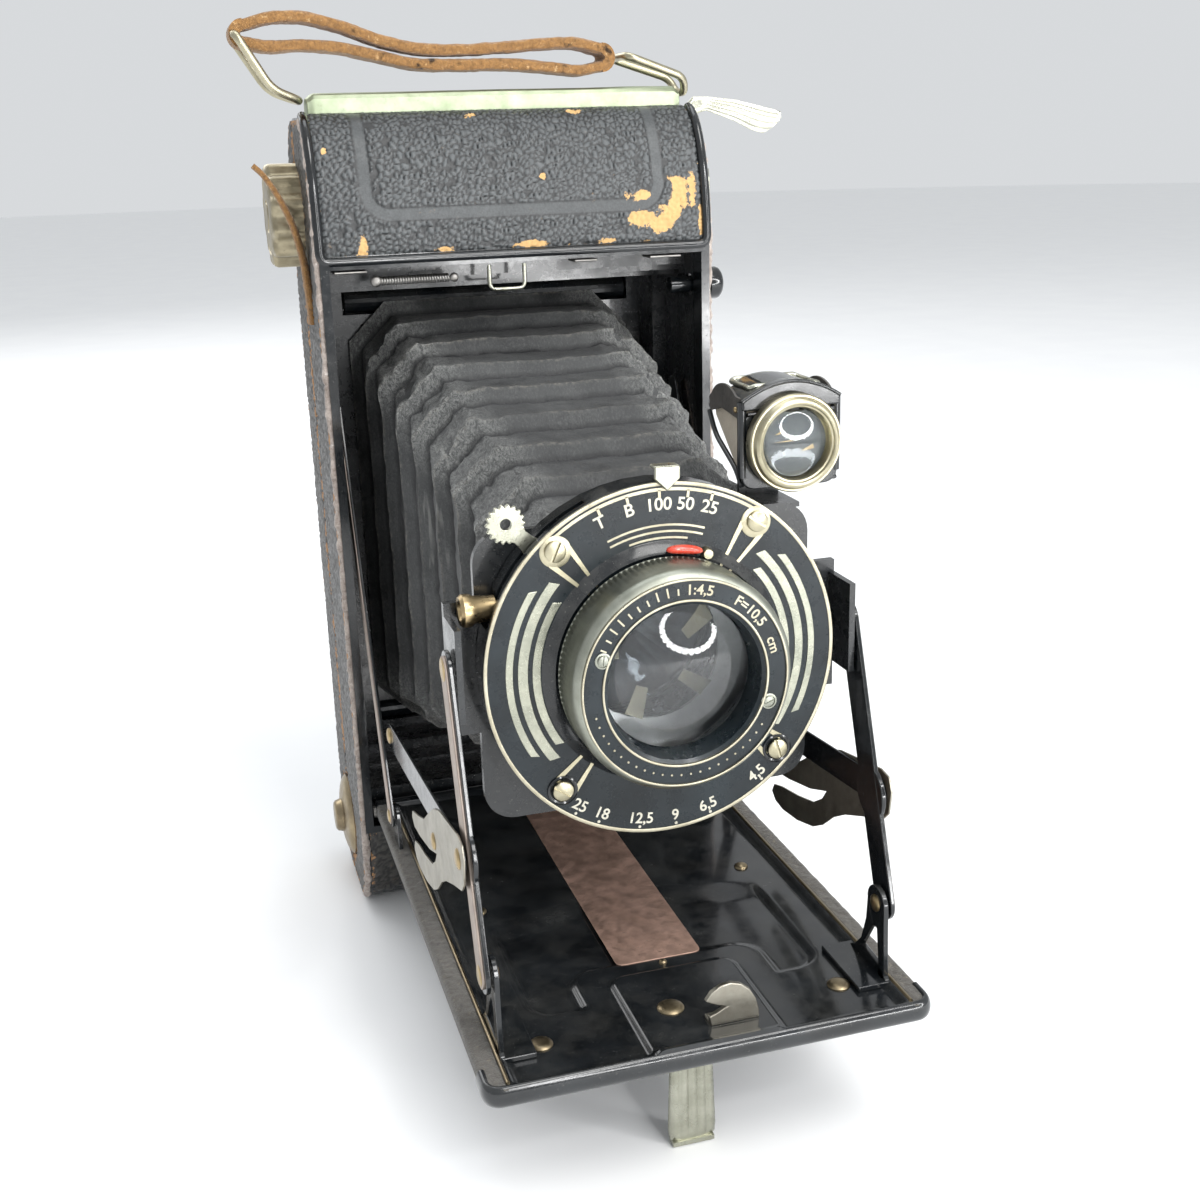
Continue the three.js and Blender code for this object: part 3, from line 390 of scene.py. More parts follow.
def lattice(u, v, size, seed):
    """Smooth noise from -1 to 1."""
    reach = 256
    table = np.random.RandomState(seed).uniform(-1, 1, (reach, reach))
    a, b = np.asarray(u) / size, np.asarray(v) / size
    i, j = np.floor(a).astype(int), np.floor(b).astype(int)
    s, t = a - i, b - j
    s, t = s * s * (3 - 2 * s), t * t * (3 - 2 * t)

    def corner(di, dj):
        return table[(i + di) % reach, (j + dj) % reach]

    low = corner(0, 0) * (1 - s) + corner(1, 0) * s
    high = corner(0, 1) * (1 - s) + corner(1, 1) * s
    return low * (1 - t) + high * t


def pebbles(u, v, size, seed):
    """Height from 0 in the creases to 1 on the crowns of leather pebbles."""
    reach = 128
    table = np.random.RandomState(seed).rand(reach, reach, 2)
    a, b = np.asarray(u) / size, np.asarray(v) / size
    i, j = np.floor(a).astype(int), np.floor(b).astype(int)
    near = np.full(a.shape, 9.0)
    second = near.copy()
    for di in (-1, 0, 1):
        for dj in (-1, 0, 1):
            p = table[(i + di) % reach, (j + dj) % reach]
            d = np.hypot(i + di + p[..., 0] - a, j + dj + p[..., 1] - b)
            second = np.minimum(second, np.maximum(near, d))
            near = np.minimum(near, d)
    edge = np.clip((second - near) / 0.4, 0, 1)
    return edge * edge * (3 - 2 * edge)


def smooth(value, low, high):
    t = np.clip((np.asarray(value, float) - low) / (high - low), 0, 1)
    return t * t * (3 - 2 * t)


class Shape:
    """The points, faces and painted attributes of one piece."""

    def __init__(self):
        self.points = []
        self.faces = []
        self.count = 0
        self.attributes = {}

    def add(self, points, faces, **attributes):
        points = np.asarray(points, float).reshape(-1, 3)
        for name in set(self.attributes) | set(attributes):
            held = self.attributes.setdefault(name, [np.zeros(self.count)] if self.count else [])
            value = np.asarray(attributes.get(name, 0.0), float).ravel()
            held.append(np.broadcast_to(value, (len(points),)) if value.size == 1 else value)
        self.points.append(points)
        self.faces += [tuple(int(i) + self.count for i in face) for face in faces]
        self.count += len(points)
        return self


def piece(name, shape, body, look, replaces=(), bevel=0.0, segments=2, sharp=35, merge=True):
    """Makes one mesh of a shape, which rides on a body and may replace one CAD node."""
    data = bpy.data.meshes.new(name)
    data.from_pydata((np.concatenate(shape.points) * MM).tolist(), [], shape.faces)
    for key, held in shape.attributes.items():
        values = np.concatenate(held).astype(np.float32)
        data.attributes.new(key, "FLOAT", "POINT").data.foreach_set("value", values)
    made = bmesh.new()
    made.from_mesh(data)
    if merge:
        bmesh.ops.remove_doubles(made, verts=made.verts, dist=2e-6)
    bmesh.ops.recalc_face_normals(made, faces=made.faces)
    made.to_mesh(data)
    made.free()
    data.shade_smooth()
    data.set_sharp_from_angle(angle=math.radians(sharp))
    data.materials.append(look)
    obj = place(bpy.data.objects.new(name, data))
    if bevel:
        cut = obj.modifiers.new("bevel", "BEVEL")
        cut.width = bevel * MM
        cut.segments = segments
        cut.limit_method = "ANGLE"
        cut.angle_limit = math.radians(40)
        cut.harden_normals = True
    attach(obj, body)
    if replaces:
        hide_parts(*([replaces] if isinstance(replaces, str) else replaces))
    return obj


def tube(shape, rows):
    """A closed skin over rings of points, with flat ends."""
    rows = np.array(rows)
    n, m = rows.shape[:2]
    faces = [(i * m + k, i * m + (k + 1) % m, (i + 1) * m + (k + 1) % m, (i + 1) * m + k)
             for i in range(n - 1) for k in range(m)]
    faces += [tuple(range(m)), tuple(range((n - 1) * m, n * m))]
    return shape.add(rows.reshape(-1, 3), faces)


def place_axes(flat, along, axis):
    """3-D points from (a, b) pairs in the plane across an axis: [y, z] on x, [x, z] on y, [x, y] on z."""
    flat = np.asarray(flat, float)
    made = np.zeros((len(flat), 3))
    others = [i for i in range(3) if i != AXES[axis]]
    made[:, others] = flat
    made[:, AXES[axis]] = along
    return made


def prism(shape, flat, axis, low, high):
    """A solid with a flat outline, from low to high along an axis."""
    n = len(flat)
    points = np.vstack([place_axes(flat, low, axis), place_axes(flat, high, axis)])
    sides = [(i, (i + 1) % n, n + (i + 1) % n, n + i) for i in range(n)]
    shape.add(points, [tuple(range(n)), tuple(range(n, 2 * n)), *sides])
    return shape


def lathe(shape, axis, centre, profile, around=64, teeth=None, closed=False):
    """Turns (radius, along) pairs about an axis. teeth = (count, depth, first row, last row)."""
    turn = np.linspace(0, 2 * math.pi, around, endpoint=False)
    rows = []
    for row, (radius, along) in enumerate(profile):
        r = np.full(around, float(radius))
        if teeth and teeth[2] <= row <= teeth[3]:
            r -= teeth[1] * (0.5 + 0.5 * np.cos(turn * teeth[0]))
        flat = np.stack([centre[0] + r * np.sin(turn), centre[1] + r * np.cos(turn)], 1)
        rows.append(place_axes(flat, along, axis))
    faces = []
    last = len(profile) if closed else len(profile) - 1
    for i in range(last):
        a, b = i * around, ((i + 1) % len(profile)) * around
        for k in range(around):
            m = (k + 1) % around
            faces.append((a + k, a + m, b + m, b + k))
    if not closed:
        for i in (0, len(profile) - 1):
            if profile[i][0] > 1e-6:
                faces.append(tuple(range(i * around, (i + 1) * around)))
    shape.add(np.vstack(rows), faces)
    return shape


def swept(shape, path, radius, around=12, closed=False, flat=(1.0, 1.0), up=(0, 0, 1)):
    """A tube along a path. flat scales its section across and along up."""
    path = np.asarray(path, float)
    n = len(path)
    radius = np.broadcast_to(radius, (n,))
    ahead = np.roll(path, -1, 0) - np.roll(path, 1, 0)
    if not closed:
        ahead[0], ahead[-1] = path[1] - path[0], path[-1] - path[-2]
    ahead /= np.linalg.norm(ahead, axis=1)[:, None]
    across = np.cross(ahead, np.asarray(up, float))
    across /= np.linalg.norm(across, axis=1)[:, None]
    over = np.cross(across, ahead)
    turn = np.linspace(0, 2 * math.pi, around, endpoint=False)
    rings = (path[:, None] + across[:, None] * (np.cos(turn) * flat[0])[None, :, None]
             * radius[:, None, None]
             + over[:, None] * (np.sin(turn) * flat[1])[None, :, None] * radius[:, None, None])
    faces = []
    for i in range(n if closed else n - 1):
        a, b = i * around, ((i + 1) % n) * around
        for k in range(around):
            m = (k + 1) % around
            faces.append((a + k, a + m, b + m, b + k))
    if not closed:
        faces += [tuple(range(around)), tuple(range((n - 1) * around, n * around))]
    shape.add(rings.reshape(-1, 3), faces)
    return shape


def rounded_path(corners, radius, steps=8, closed=False):
    """A path through 3-D corners, each turned on an arc-like curve."""
    corners = [np.asarray(c, float) for c in corners]
    n = len(corners)
    made = []
    for i, here in enumerate(corners):
        if not closed and i in (0, n - 1):
            made.append(here)
            continue
        before, after = corners[i - 1], corners[(i + 1) % n]
        into, out = before - here, after - here
        reach = min(radius, np.linalg.norm(into) * 0.48, np.linalg.norm(out) * 0.48)
        a = here + into / np.linalg.norm(into) * reach
        b = here + out / np.linalg.norm(out) * reach
        for t in np.linspace(0, 1, steps):
            made.append(a * (1 - t) ** 2 + here * 2 * t * (1 - t) + b * t * t)
    return np.array(made)


def turned_to(points, centre, direction):
    """Points made about +z, turned so that +z is direction, and moved to centre."""
    turn = Vector((0, 0, 1)).rotation_difference(Vector(direction)).to_matrix()
    return np.asarray(points) @ np.array(turn).T + np.asarray(centre, float)


def rivet(shape, centre, direction, radius, height, around=28):
    """A low round head standing on centre."""
    rows = [(radius, 0), (radius, height * 0.3), (radius * 0.9, height * 0.62),
            (radius * 0.6, height * 0.9),
            (radius * 0.25, height * 0.99), (0, height)]
    made = Shape()
    lathe(made, "z", (0, 0), rows, around)
    shape.add(turned_to(made.points[0], centre, direction), made.faces)
    return shape


def screw(shape, centre, direction, radius, height, slot_turn, slot_half=0.24):
    """A slotted head: a low disc with two half rounds on it."""
    made = Shape()
    lathe(made, "z", (0, 0), [(radius, 0), (radius, height * 0.5), (0, height * 0.5)], 32)
    limit = math.asin(slot_half / radius)
    for side in (0, math.pi):
        arc = np.linspace(limit + side, math.pi - limit + side, 16)
        outer = np.stack([radius * np.cos(arc), radius * np.sin(arc)], 1)
        inner = outer * 0.86
        inner[:, 1] = np.where(side == 0, np.maximum(inner[:, 1], slot_half),
                               np.minimum(inner[:, 1], -slot_half))
        n = len(outer)
        points = np.vstack([place_axes(outer, height * 0.4, "z"), place_axes(outer, height * 0.8, "z"),
                            place_axes(inner, height, "z")])
        faces = [tuple(range(n)), tuple(range(2 * n, 3 * n))]
        for ring in (0, n):
            faces += [(ring + i, ring + (i + 1) % n, ring + n + (i + 1) % n, ring + n + i)
                      for i in range(n)]
        made.add(points, faces)
    turn = math.radians(slot_turn)
    points = np.vstack(made.points)
    points[:, :2] = points[:, :2] @ np.array([[math.cos(turn), math.sin(turn)],
                                              [-math.sin(turn), math.cos(turn)]])
    shape.add(turned_to(points, centre, direction), made.faces)
    return shape


def bar_outline(points, radius, arc=10):
    """The outline of a flat bar with round ends, along 2-D points."""
    points = [np.asarray(p, float) for p in points]
    made = []
    for path in (points, points[::-1]):
        for i, here in enumerate(path[:-1]):
            d = path[i + 1] - here
            d /= np.linalg.norm(d)
            side = np.array([d[1], -d[0]])
            if i == 0:
                start = math.atan2(-side[1], -side[0])
                for a in np.linspace(0, math.pi, arc):
                    made.append(here + radius * np.array([math.cos(start + a), math.sin(start + a)]))
            else:
                before = here - path[i - 1]
                before /= np.linalg.norm(before)
                both = side + np.array([before[1], -before[0]])
                both /= np.linalg.norm(both)
                made.append(here + both * radius / max(0.5, float(both @ side)))
    return np.array(made)


def grid_solid(shape, top, back, **attributes):
    """A closed sheet from a grid of points, with plain strips on its back. top and back are n x m x 3."""
    n, m = top.shape[:2]
    quads = [(i * m + k, i * m + k + 1, (i + 1) * m + k + 1, (i + 1) * m + k) for i in range(n - 1)
             for k in range(m - 1)]
    rim = [(0, k) for k in range(m)] + [(i, m - 1) for i in range(1, n)]
    rim += [(n - 1, k) for k in range(m - 2, -1, -1)] + [(i, 0) for i in range(n - 2, 0, -1)]
    under = {spot: n * m + q for q, spot in enumerate(rim)}
    low = np.array([back[s] for s in rim])
    skirt = [(a[0] * m + a[1], b[0] * m + b[1], under[b], under[a]) for a, b in zip(rim, rim[1:] + rim[:1])]
    strips = [(under[(i, 0)], under[(i, m - 1)], under[(i + 1, m - 1)], under[(i + 1, 0)])
              for i in range(1, n - 2)]
    first = [under[(0, k)] for k in range(m)] + [under[(1, m - 1)], under[(1, 0)]]
    last = [under[(n - 1, k)] for k in range(m)] + [under[(n - 2, m - 1)], under[(n - 2, 0)]]
    padded = {}
    for key, value in attributes.items():
        value = np.asarray(value, float)
        padded[key] = np.concatenate([value.ravel(), [value[s] for s in rim]])
    shape.add(np.vstack([top.reshape(-1, 3), low]), [*quads, *skirt, *strips, tuple(first), tuple(last)],
              **padded)
    return shape


def letters(shape, text, size, locate, thick=0.06):
    """Adds raised figures. locate turns layout points into 3-D; their z is the height off the face."""
    data = bpy.data.curves.new("letters", "FONT")
    data.body = text
    data.size = size
    data.align_x = "CENTER"
    data.offset = size * 0.017
    holder = place(bpy.data.objects.new("letters", data))
    bpy.context.view_layer.update()
    flat = bpy.data.meshes.new_from_object(holder.evaluated_get(bpy.context.evaluated_depsgraph_get()))
    work = bmesh.new()
    work.from_mesh(flat)
    bmesh.ops.remove_doubles(work, verts=work.verts, dist=1e-5)
    made = bmesh.ops.extrude_face_region(work, geom=work.faces[:])
    for v in made["geom"]:
        if isinstance(v, bmesh.types.BMVert):
            v.co.z += thick
    points = np.array([v.co for v in work.verts])
    work.verts.index_update()
    faces = [[v.index for v in f.verts] for f in work.faces]
    work.free()
    bpy.data.objects.remove(holder)
    bpy.data.curves.remove(data)
    bpy.data.meshes.remove(flat)
    shape.add(locate(points), faces)
    return shape


# ---- body leather ---------------------------------------------------------------------------

# Half the thickness of the body's flat middle, the heights where its two ends start to curve, and its top.
FLAT_HALF = 7.4
END_TOP = 139.0
END_BOTTOM = 20.2
BODY_TOP = 165.0


def hide_height(u, v, size, seed, stretch=1.0):
    """Pebbles with slow undulation, in mm below the covering's outer face."""
    warp = lattice(u, v, size * 2.2, seed + 1) * size * 0.35
    crown = pebbles(u + warp, v * stretch - warp, size, seed)
    return 0.24 * crown + 0.05 * lattice(u, v, 5, seed + 2) - 0.27, crown


def front_leather():
    """The curved top front: pebbled, with a pressed smooth band in a U and worn-through patches."""
    low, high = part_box("front_leather_upper")
    half = high.x / MM - 0.35
    depth = -low.y / MM - FLAT_HALF
    rise = BODY_TOP + 0.6 - END_TOP
    turn = np.linspace(0.006, math.radians(88.2), 400)
    y = -FLAT_HALF - depth * np.cos(turn)
    z = END_TOP + rise * np.sin(turn)
    length = np.concatenate([[0], np.cumsum(np.hypot(np.diff(y), np.diff(z)))])
    rows, columns = 122, 260
    s = np.linspace(0.35, length[-1], rows)
    angle = np.interp(s, length, turn)
    x = np.linspace(-half, half, columns)
    grid_x, grid_s = np.meshgrid(x, s)
    grid_a = np.repeat(angle[:, None], columns, 1)
    band_half, band_side, band_low, corner = 1.25, 29.2, 7.6, 4.5
    dx = np.abs(grid_x) - (band_side - corner)
    ds = (band_low + corner) - grid_s
    round_gap = np.abs(np.hypot(np.maximum(dx, 0), np.maximum(ds, 0)) - corner)
    side_gap = np.where(grid_s > band_low + corner, np.abs(np.abs(grid_x) - band_side), 99)
    low_gap = np.where(np.abs(grid_x) < band_side - corner, np.abs(grid_s - band_low), 99)
    round_gap = np.where((dx > 0) & (ds > 0), round_gap, 99)
    gap = np.minimum(np.minimum(side_gap, low_gap), round_gap)
    band = 1 - smooth(gap, band_half - 0.25, band_half + 0.35)
    band_edge_shade = smooth(gap, band_half - 0.35, band_half)
    band_edge_shade = band_edge_shade * (1 - smooth(gap, band_half, band_half + 0.35))
    lip = smooth(gap, band_half, band_half + 0.5) * (1 - smooth(gap, band_half + 0.5, band_half + 1.3))
    stretch = np.where(grid_s > 14, 0.8, 1.0)
    height, crown = hide_height(grid_x, grid_s, 1.05, 11, stretch)
    height = height * (1 - band) - 0.22 * band + 0.05 * lip
    # The pressed band gets a middling relief and its edge a low one, so the leather look paints a line of
    # painted shade along the band's edge.
    crown = crown * (1 - band) + band * 0.72 - 0.5 * band_edge_shade
    edge = np.minimum(half - np.abs(grid_x), grid_s - s[0])
    height -= 0.22 * (1 - smooth(edge, 0, 0.7))
    dirt = lattice(grid_x, grid_s, 2.4, 21) * 0.6 + lattice(grid_x, grid_s, 0.9, 22) * 0.4
    crescent = np.hypot(grid_x - 27.6, (grid_s - 10.2) * 0.9)
    worn = 1.25 * np.clip(1 - np.abs(crescent - 5.8) / 3.4, 0, 1)
    worn = worn * smooth(grid_x, 24.5, 29) * smooth(14 - grid_s, 0, 2)
    spots = ((25.0, 9.4, 3.4, 1.5), (25.5, 5.0, 4.6, 2.2), (36.3, 10, 1.3, 4), (18.2, 0.9, 3.2, 0.9),
             (1.9, 1.0, 5.6, 1.0), (-14.7, 0.8, 3.0, 0.7), (-6.9, 27.6, 1.7, 1.6), (14.6, 28.4, 3.0, 1.4),
             (-36.2, 20, 0.9, 1.2), (5.5, 13.8, 1.0, 0.9), (-30.5, 1.2, 1.2, 4.6), (37.8, 4.5, 0.8, 6))
    for at_x, at_s, wide, tall in spots:
        worn = np.maximum(worn, 1.15 - np.hypot((grid_x - at_x) / wide, (grid_s - at_s) / tall) * 0.85)
    worn = np.maximum(worn, 0.42 * (1 - smooth(edge, 0, 1.1)))
    wear = np.clip(worn + dirt * 0.35 - 0.1, 0, 1)
    height -= 0.06 * smooth(wear, 0.5, 0.7)
    normal_y, normal_z = -np.cos(grid_a) * rise, np.sin(grid_a) * depth
    size = np.hypot(normal_y, normal_z)

    def shifted(by):
        return np.stack([grid_x, -FLAT_HALF - depth * np.cos(grid_a) + normal_y / size * by,
                         END_TOP + rise * np.sin(grid_a) + normal_z / size * by], 2)

    shape = grid_solid(Shape(), shifted(height), shifted(np.full(height.shape, -0.6)), wear=wear,
                       relief=crown)
    piece("leather_top_front", shape, "camera", FRONT_HIDE, "front_leather_upper", sharp=60,
          merge=False)


def curved_leather(name, node, body, look, forward, seed, turns):
    """A leather covering round one face of the body.

    Each turn is a curved end: the height of its centre, its rise, and its first and last angle.
    """
    low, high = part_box(node)
    half = high.x / MM - 0.2
    far = -low.y / MM if forward < 0 else high.y / MM
    depth = far - FLAT_HALF
    path = []
    for centre_z, rise, start, end in turns:
        for a in np.radians(np.linspace(start, end, 60)):
            path.append((FLAT_HALF + depth * math.cos(a), centre_z + rise * math.sin(a)))
    path = np.array(path)
    length = np.concatenate([[0], np.cumsum(np.hypot(*np.diff(path, axis=0).T))])
    rows = max(12, int(length[-1] / 0.5))
    columns = int(2 * half / 0.5)
    s = np.linspace(0, length[-1], rows)
    line = np.stack([np.interp(s, length, path[:, 0]), np.interp(s, length, path[:, 1])], 1)
    ahead = np.gradient(line, axis=0)
    ahead /= np.linalg.norm(ahead, axis=1)[:, None]
    out = np.stack([ahead[:, 1], -ahead[:, 0]], 1)
    if out[len(out) // 2, 0] < 0:
        out = -out
    x = np.linspace(-half, half, columns)
    grid_x, grid_s = np.meshgrid(x, s)
    height, crown = hide_height(grid_x, grid_s, 1.15, seed)
    edge = np.minimum(half - np.abs(grid_x), np.minimum(grid_s, s[-1] - grid_s))
    height -= 0.2 * (1 - smooth(edge, 0, 0.8))
    dirt = lattice(grid_x, grid_s, 3.1, seed + 5) * 0.6 + lattice(grid_x, grid_s, 1.0, seed + 6) * 0.4
    wear = np.clip(0.5 * (1 - smooth(edge, 0, 2.2)) + dirt * 0.35 - 0.04, 0, 1)

    def shifted(by):
        flat = line[:, None, :] + out[:, None, :] * by[:, :, None]
        return np.stack([grid_x, forward * flat[..., 0], flat[..., 1]], 2)

    shape = grid_solid(Shape(), shifted(height), shifted(np.full(height.shape, -0.6)), wear=wear,
                       relief=crown)
    piece(name, shape, body, look, node, sharp=60, merge=False)


def outer_loops(node, axis, sign):
    """The loops of 2-D points, in mm, round the flat outer face of a CAD node."""
    made = bmesh.new()
    made.from_mesh(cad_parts[node].data)
    bmesh.ops.remove_doubles(made, verts=made.verts, dist=1e-6)
    k = AXES[axis]
    edge = max(v.co[k] * sign for v in made.verts)
    outer = {f for f in made.faces if all(abs(v.co[k] * sign - edge) < 2e-5 for v in f.verts)}
    links = {}
    for e in made.edges:
        if sum(f in outer for f in e.link_faces) == 1:
            a, b = e.verts
            links.setdefault(a.index, []).append(b.index)
            links.setdefault(b.index, []).append(a.index)
    spots = {v.index: tuple(v.co[i] / MM for i in range(3) if i != k) for v in made.verts}
    made.free()
    loops = []
    while links:
        start = next(iter(links))
        loop, here, before = [start], links[start][0], start
        while here != start:
            loop.append(here)
            nexts = [n for n in links[here] if n != before]
            before, here = here, nexts[0]
        for i in loop:
            links.pop(i)
        loops.append(np.array([spots[i] for i in loop]))
    return sorted(loops, key=lambda loop: -np.ptp(loop, axis=0).prod())


def inside(points, loops):
    """Whether 2-D points are inside the first loop and outside the others."""
    held = np.zeros(len(points), bool)
    for loop in loops:
        a, b = loop, np.roll(loop, -1, 0)
        for (ax, ay), (bx, by) in zip(a, b):
            if ay == by:
                continue
            crosses = (ay > points[:, 1]) != (by > points[:, 1])
            at = ax + (points[:, 1] - ay) / (by - ay) * (bx - ax)
            held ^= crosses & (points[:, 0] < at)
    return held


def resampled(loop, spacing):
    """The same loop with points no further apart than about the spacing."""
    made = []
    for a, b in zip(loop, np.roll(loop, -1, 0)):
        n = max(1, int(round(np.linalg.norm(b - a) / spacing)))
        made += [a + (b - a) * i / n for i in range(n)]
    return np.array(made)


def edge_distance(points, loops):
    """The distance from each point to the nearest loop."""
    gap = np.full(len(points), 99.0)
    for loop in loops:
        for a, b in zip(loop, np.roll(loop, -1, 0)):
            d = b - a
            if not d.any():
                continue
            t = np.clip(((points - a) @ d) / (d @ d), 0, 1)
            gap = np.minimum(gap, np.linalg.norm(points - a - t[:, None] * d, axis=1))
    return gap


def filled(loops, spacing):
    """A triangulation of the area between loops: 2-D points and triangles."""
    edges, points = [], []
    for loop in loops:
        base = len(points)
        points += list(loop)
        edges += [(base + i, base + (i + 1) % len(loop)) for i in range(len(loop))]
    low, high = loops[0].min(0), loops[0].max(0)
    u, v = np.meshgrid(np.arange(low[0], high[0], spacing), np.arange(low[1], high[1], spacing * 0.87))
    u = u + (np.arange(u.shape[0]) % 2)[:, None] * spacing / 2
    inner = np.stack([u.ravel(), v.ravel()], 1)
    inner = inner[inside(inner, loops)]
    inner = inner[edge_distance(inner, loops) > spacing * 0.5]
    points += list(inner)
    made = delaunay_2d_cdt([Vector(p) for p in points], edges, [], 1, 1e-6)
    spots = np.array([tuple(v) for v in made[0]])
    triangles = np.array(made[2])
    middle = spots[triangles].mean(1)
    return spots, triangles[inside(middle, loops)]


def flat_sheet(name, node, axis, sign, body, look, relief, spacing=0.55, thick=0.45):
    """A closed sheet on the outline of a CAD node's flat outer face.

    relief(u, v, edge gap) gives its height and its painted attributes.
    """
    loops = [resampled(loop, spacing) for loop in outer_loops(node, axis, sign)]
    low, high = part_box(node)
    face = (high if sign > 0 else low)[AXES[axis]] / MM
    spots, triangles = filled(loops, spacing)
    height, attributes = relief(spots[:, 0], spots[:, 1], edge_distance(spots, loops))
    top = place_axes(spots, 0, axis)
    top[:, AXES[axis]] = face + sign * height
    bottom = place_axes(spots, face - sign * thick, axis)
    n = len(spots)
    count = {}
    for tri in triangles:
        for a, b in ((tri[0], tri[1]), (tri[1], tri[2]), (tri[2], tri[0])):
            count[(a, b)] = count.get((a, b), 0) + 1
    rim = [(a, b) for a, b in count if (b, a) not in count]
    faces = [tuple(t) for t in triangles] + [tuple(t[::-1] + n) for t in triangles]
    faces += [(a, b, b + n, a + n) for a, b in rim]
    doubled = {key: np.concatenate([value, value]) for key, value in attributes.items()}
    shape = Shape().add(np.vstack([top, bottom]), faces, **doubled)
    return piece(name, shape, body, look, node, sharp=60, merge=False)


def side_relief(seed, worn):
    """The relief of a pebbled sheet which is worn along its edges."""
    def relief(u, v, gap):
        height, crown = hide_height(u, v, 1.25, seed, 0.8)
        height = height - 0.2 * (1 - smooth(gap, 0, 0.9))
        dirt = lattice(u, v, 3.5, seed + 3) * 0.6 + lattice(u, v, 0.8, seed + 4) * 0.45
        wear = np.clip(worn * (1 - smooth(gap, 0.1, 2.6)) + dirt * 0.42 - 0.02, 0, 1)
        return height - 0.05 * smooth(wear, 0.45, 0.7), {"wear": wear, "relief": crown}
    return relief


def rough_bead(name, path, radius, body, seed, look):
    """A worn, uneven edge of leather along a path."""
    path = np.asarray(path, float)
    length = np.concatenate([[0], np.cumsum(np.linalg.norm(np.diff(path, axis=0), axis=1))])
    s = np.linspace(0, length[-1], max(8, int(length[-1] / 0.5)))
    line = np.stack([np.interp(s, length, path[:, i]) for i in range(3)], 1)
    line += np.stack([lattice(s, s * 0, 2.3, seed + i) * 0.12 for i in range(3)], 1)
    sizes = radius * (1 + 0.3 * lattice(s, s * 0, 1.4, seed + 7) + 0.2 * lattice(s, s * 0, 0.6, seed + 8))
    shape = swept(Shape(), line, sizes, around=10, up=(1, 0, 0))
    piece(name, shape, body, look, sharp=70)


def body_front_path(x):
    """Points up the front edge of the body, from the bottom to the top."""
    low = [(-FLAT_HALF - 11.0 * math.sin(a), END_BOTTOM - 19.6 * math.cos(a))
           for a in np.radians(np.linspace(25, 90, 14))]
    high = [(-FLAT_HALF - 11.0 * math.cos(a), END_TOP + 25.6 * math.sin(a))
            for a in np.radians(np.linspace(0, 84, 22))]
    return np.array([(x, y, z) for y, z in low + high])


def add_leather():
    front_leather()
    curved_leather("leather_low_front", "front_leather_lower", "camera", SIDE_HIDE, -1, 31,
                   [(END_BOTTOM, 19.9, -88, -1)])
    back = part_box("door_leather_back")
    top_turn = math.degrees(math.asin(min(1, (back[1].z / MM - END_TOP) / (BODY_TOP + 0.5 - END_TOP))))
    low_turn = math.degrees(math.asin(min(1, (END_BOTTOM - back[0].z / MM) / (END_BOTTOM + 0.2))))
    curved_leather("leather_back", "door_leather_back", "back", BACK_HIDE, 1, 41,
                   [(END_BOTTOM, END_BOTTOM + 0.2, -low_turn, 0),
                    (END_TOP, BODY_TOP + 0.5 - END_TOP, 0, top_turn)])
    flat_sheet("leather_bed", "bed_leather", "z", -1, "bed", BACK_HIDE, side_relief(47, 0.35),
               spacing=0.8, thick=0.3)
    for side, sign in (("left", -1), ("right", 1)):
        flat_sheet(f"leather_body_{side}", f"body_leather_{side}", "x", sign, "camera", SIDE_HIDE,
                   side_relief(51 + sign, 0.75))
        flat_sheet(f"leather_door_{side}", f"door_leather_{side}", "x", sign, "back", SIDE_HIDE,
                   side_relief(61 + sign, 0.6))
        rough_bead(f"front_edge_{side}", body_front_path(sign * 39.35), 0.75, "camera", 71 + sign,
                   PALE_EDGE)
    peel = [(-39.9, -6.6, 126), (-40.3, -7.2, 133), (-40.9, -7.6, 139), (-42.4, -7.8, 145.5),
            (-44.8, -7.8, 151),
            (-47.2, -7.6, 154.8), (-48.9, -7.4, 156.4)]
    path = rounded_path(peel, 3, 6)
    shape = swept(Shape(), path, np.linspace(1.5, 0.8, len(path)), around=12, flat=(1.0, 0.6),
                  up=(1, 0, -0.6))
    piece("peeled_edge", shape, "camera", STRAP_HIDE, sharp=60)


# ---- lip, frame, catch ----------------------------------------------------------------------

def add_lip():
    """The rounded enamel lip along the top of the opening, turning up beside the leather at both ends."""
    side = 38.95
    ellipse = [(-FLAT_HALF - 11.35 * math.cos(a), END_TOP + 26.2 * math.sin(a))
               for a in np.radians(np.linspace(6, 84, 24))]
    left = [(-side, y, z) for y, z in ellipse[::-1]]
    right = [(side, y, z) for y, z in ellipse]
    corners = rounded_path([(-side, -18.75, 142.5), (-side, -18.95, 138.4), (side, -18.95, 138.4),
                            (side, -18.75, 142.5)], 2.6, 10)
    path = np.vstack([left, corners, right])
    shape = swept(Shape(), path, 0.95, around=16, up=(0, 1, 0.001))
    piece("opening_lip", shape, "camera", ENAMEL, sharp=60)
    tabs = Shape()
    for x, wide in ((-33.3, 3.2), (30.3, 3.4), (13.5, 2.4)):
        prism(tabs, [(x - wide, -18.3), (x + wide, -18.3), (x + wide, -13.2), (x - wide, -13.2)], "z",
              136.1, 136.7)
    piece("lip_tabs", tabs, "camera", STEEL, bevel=0.25)


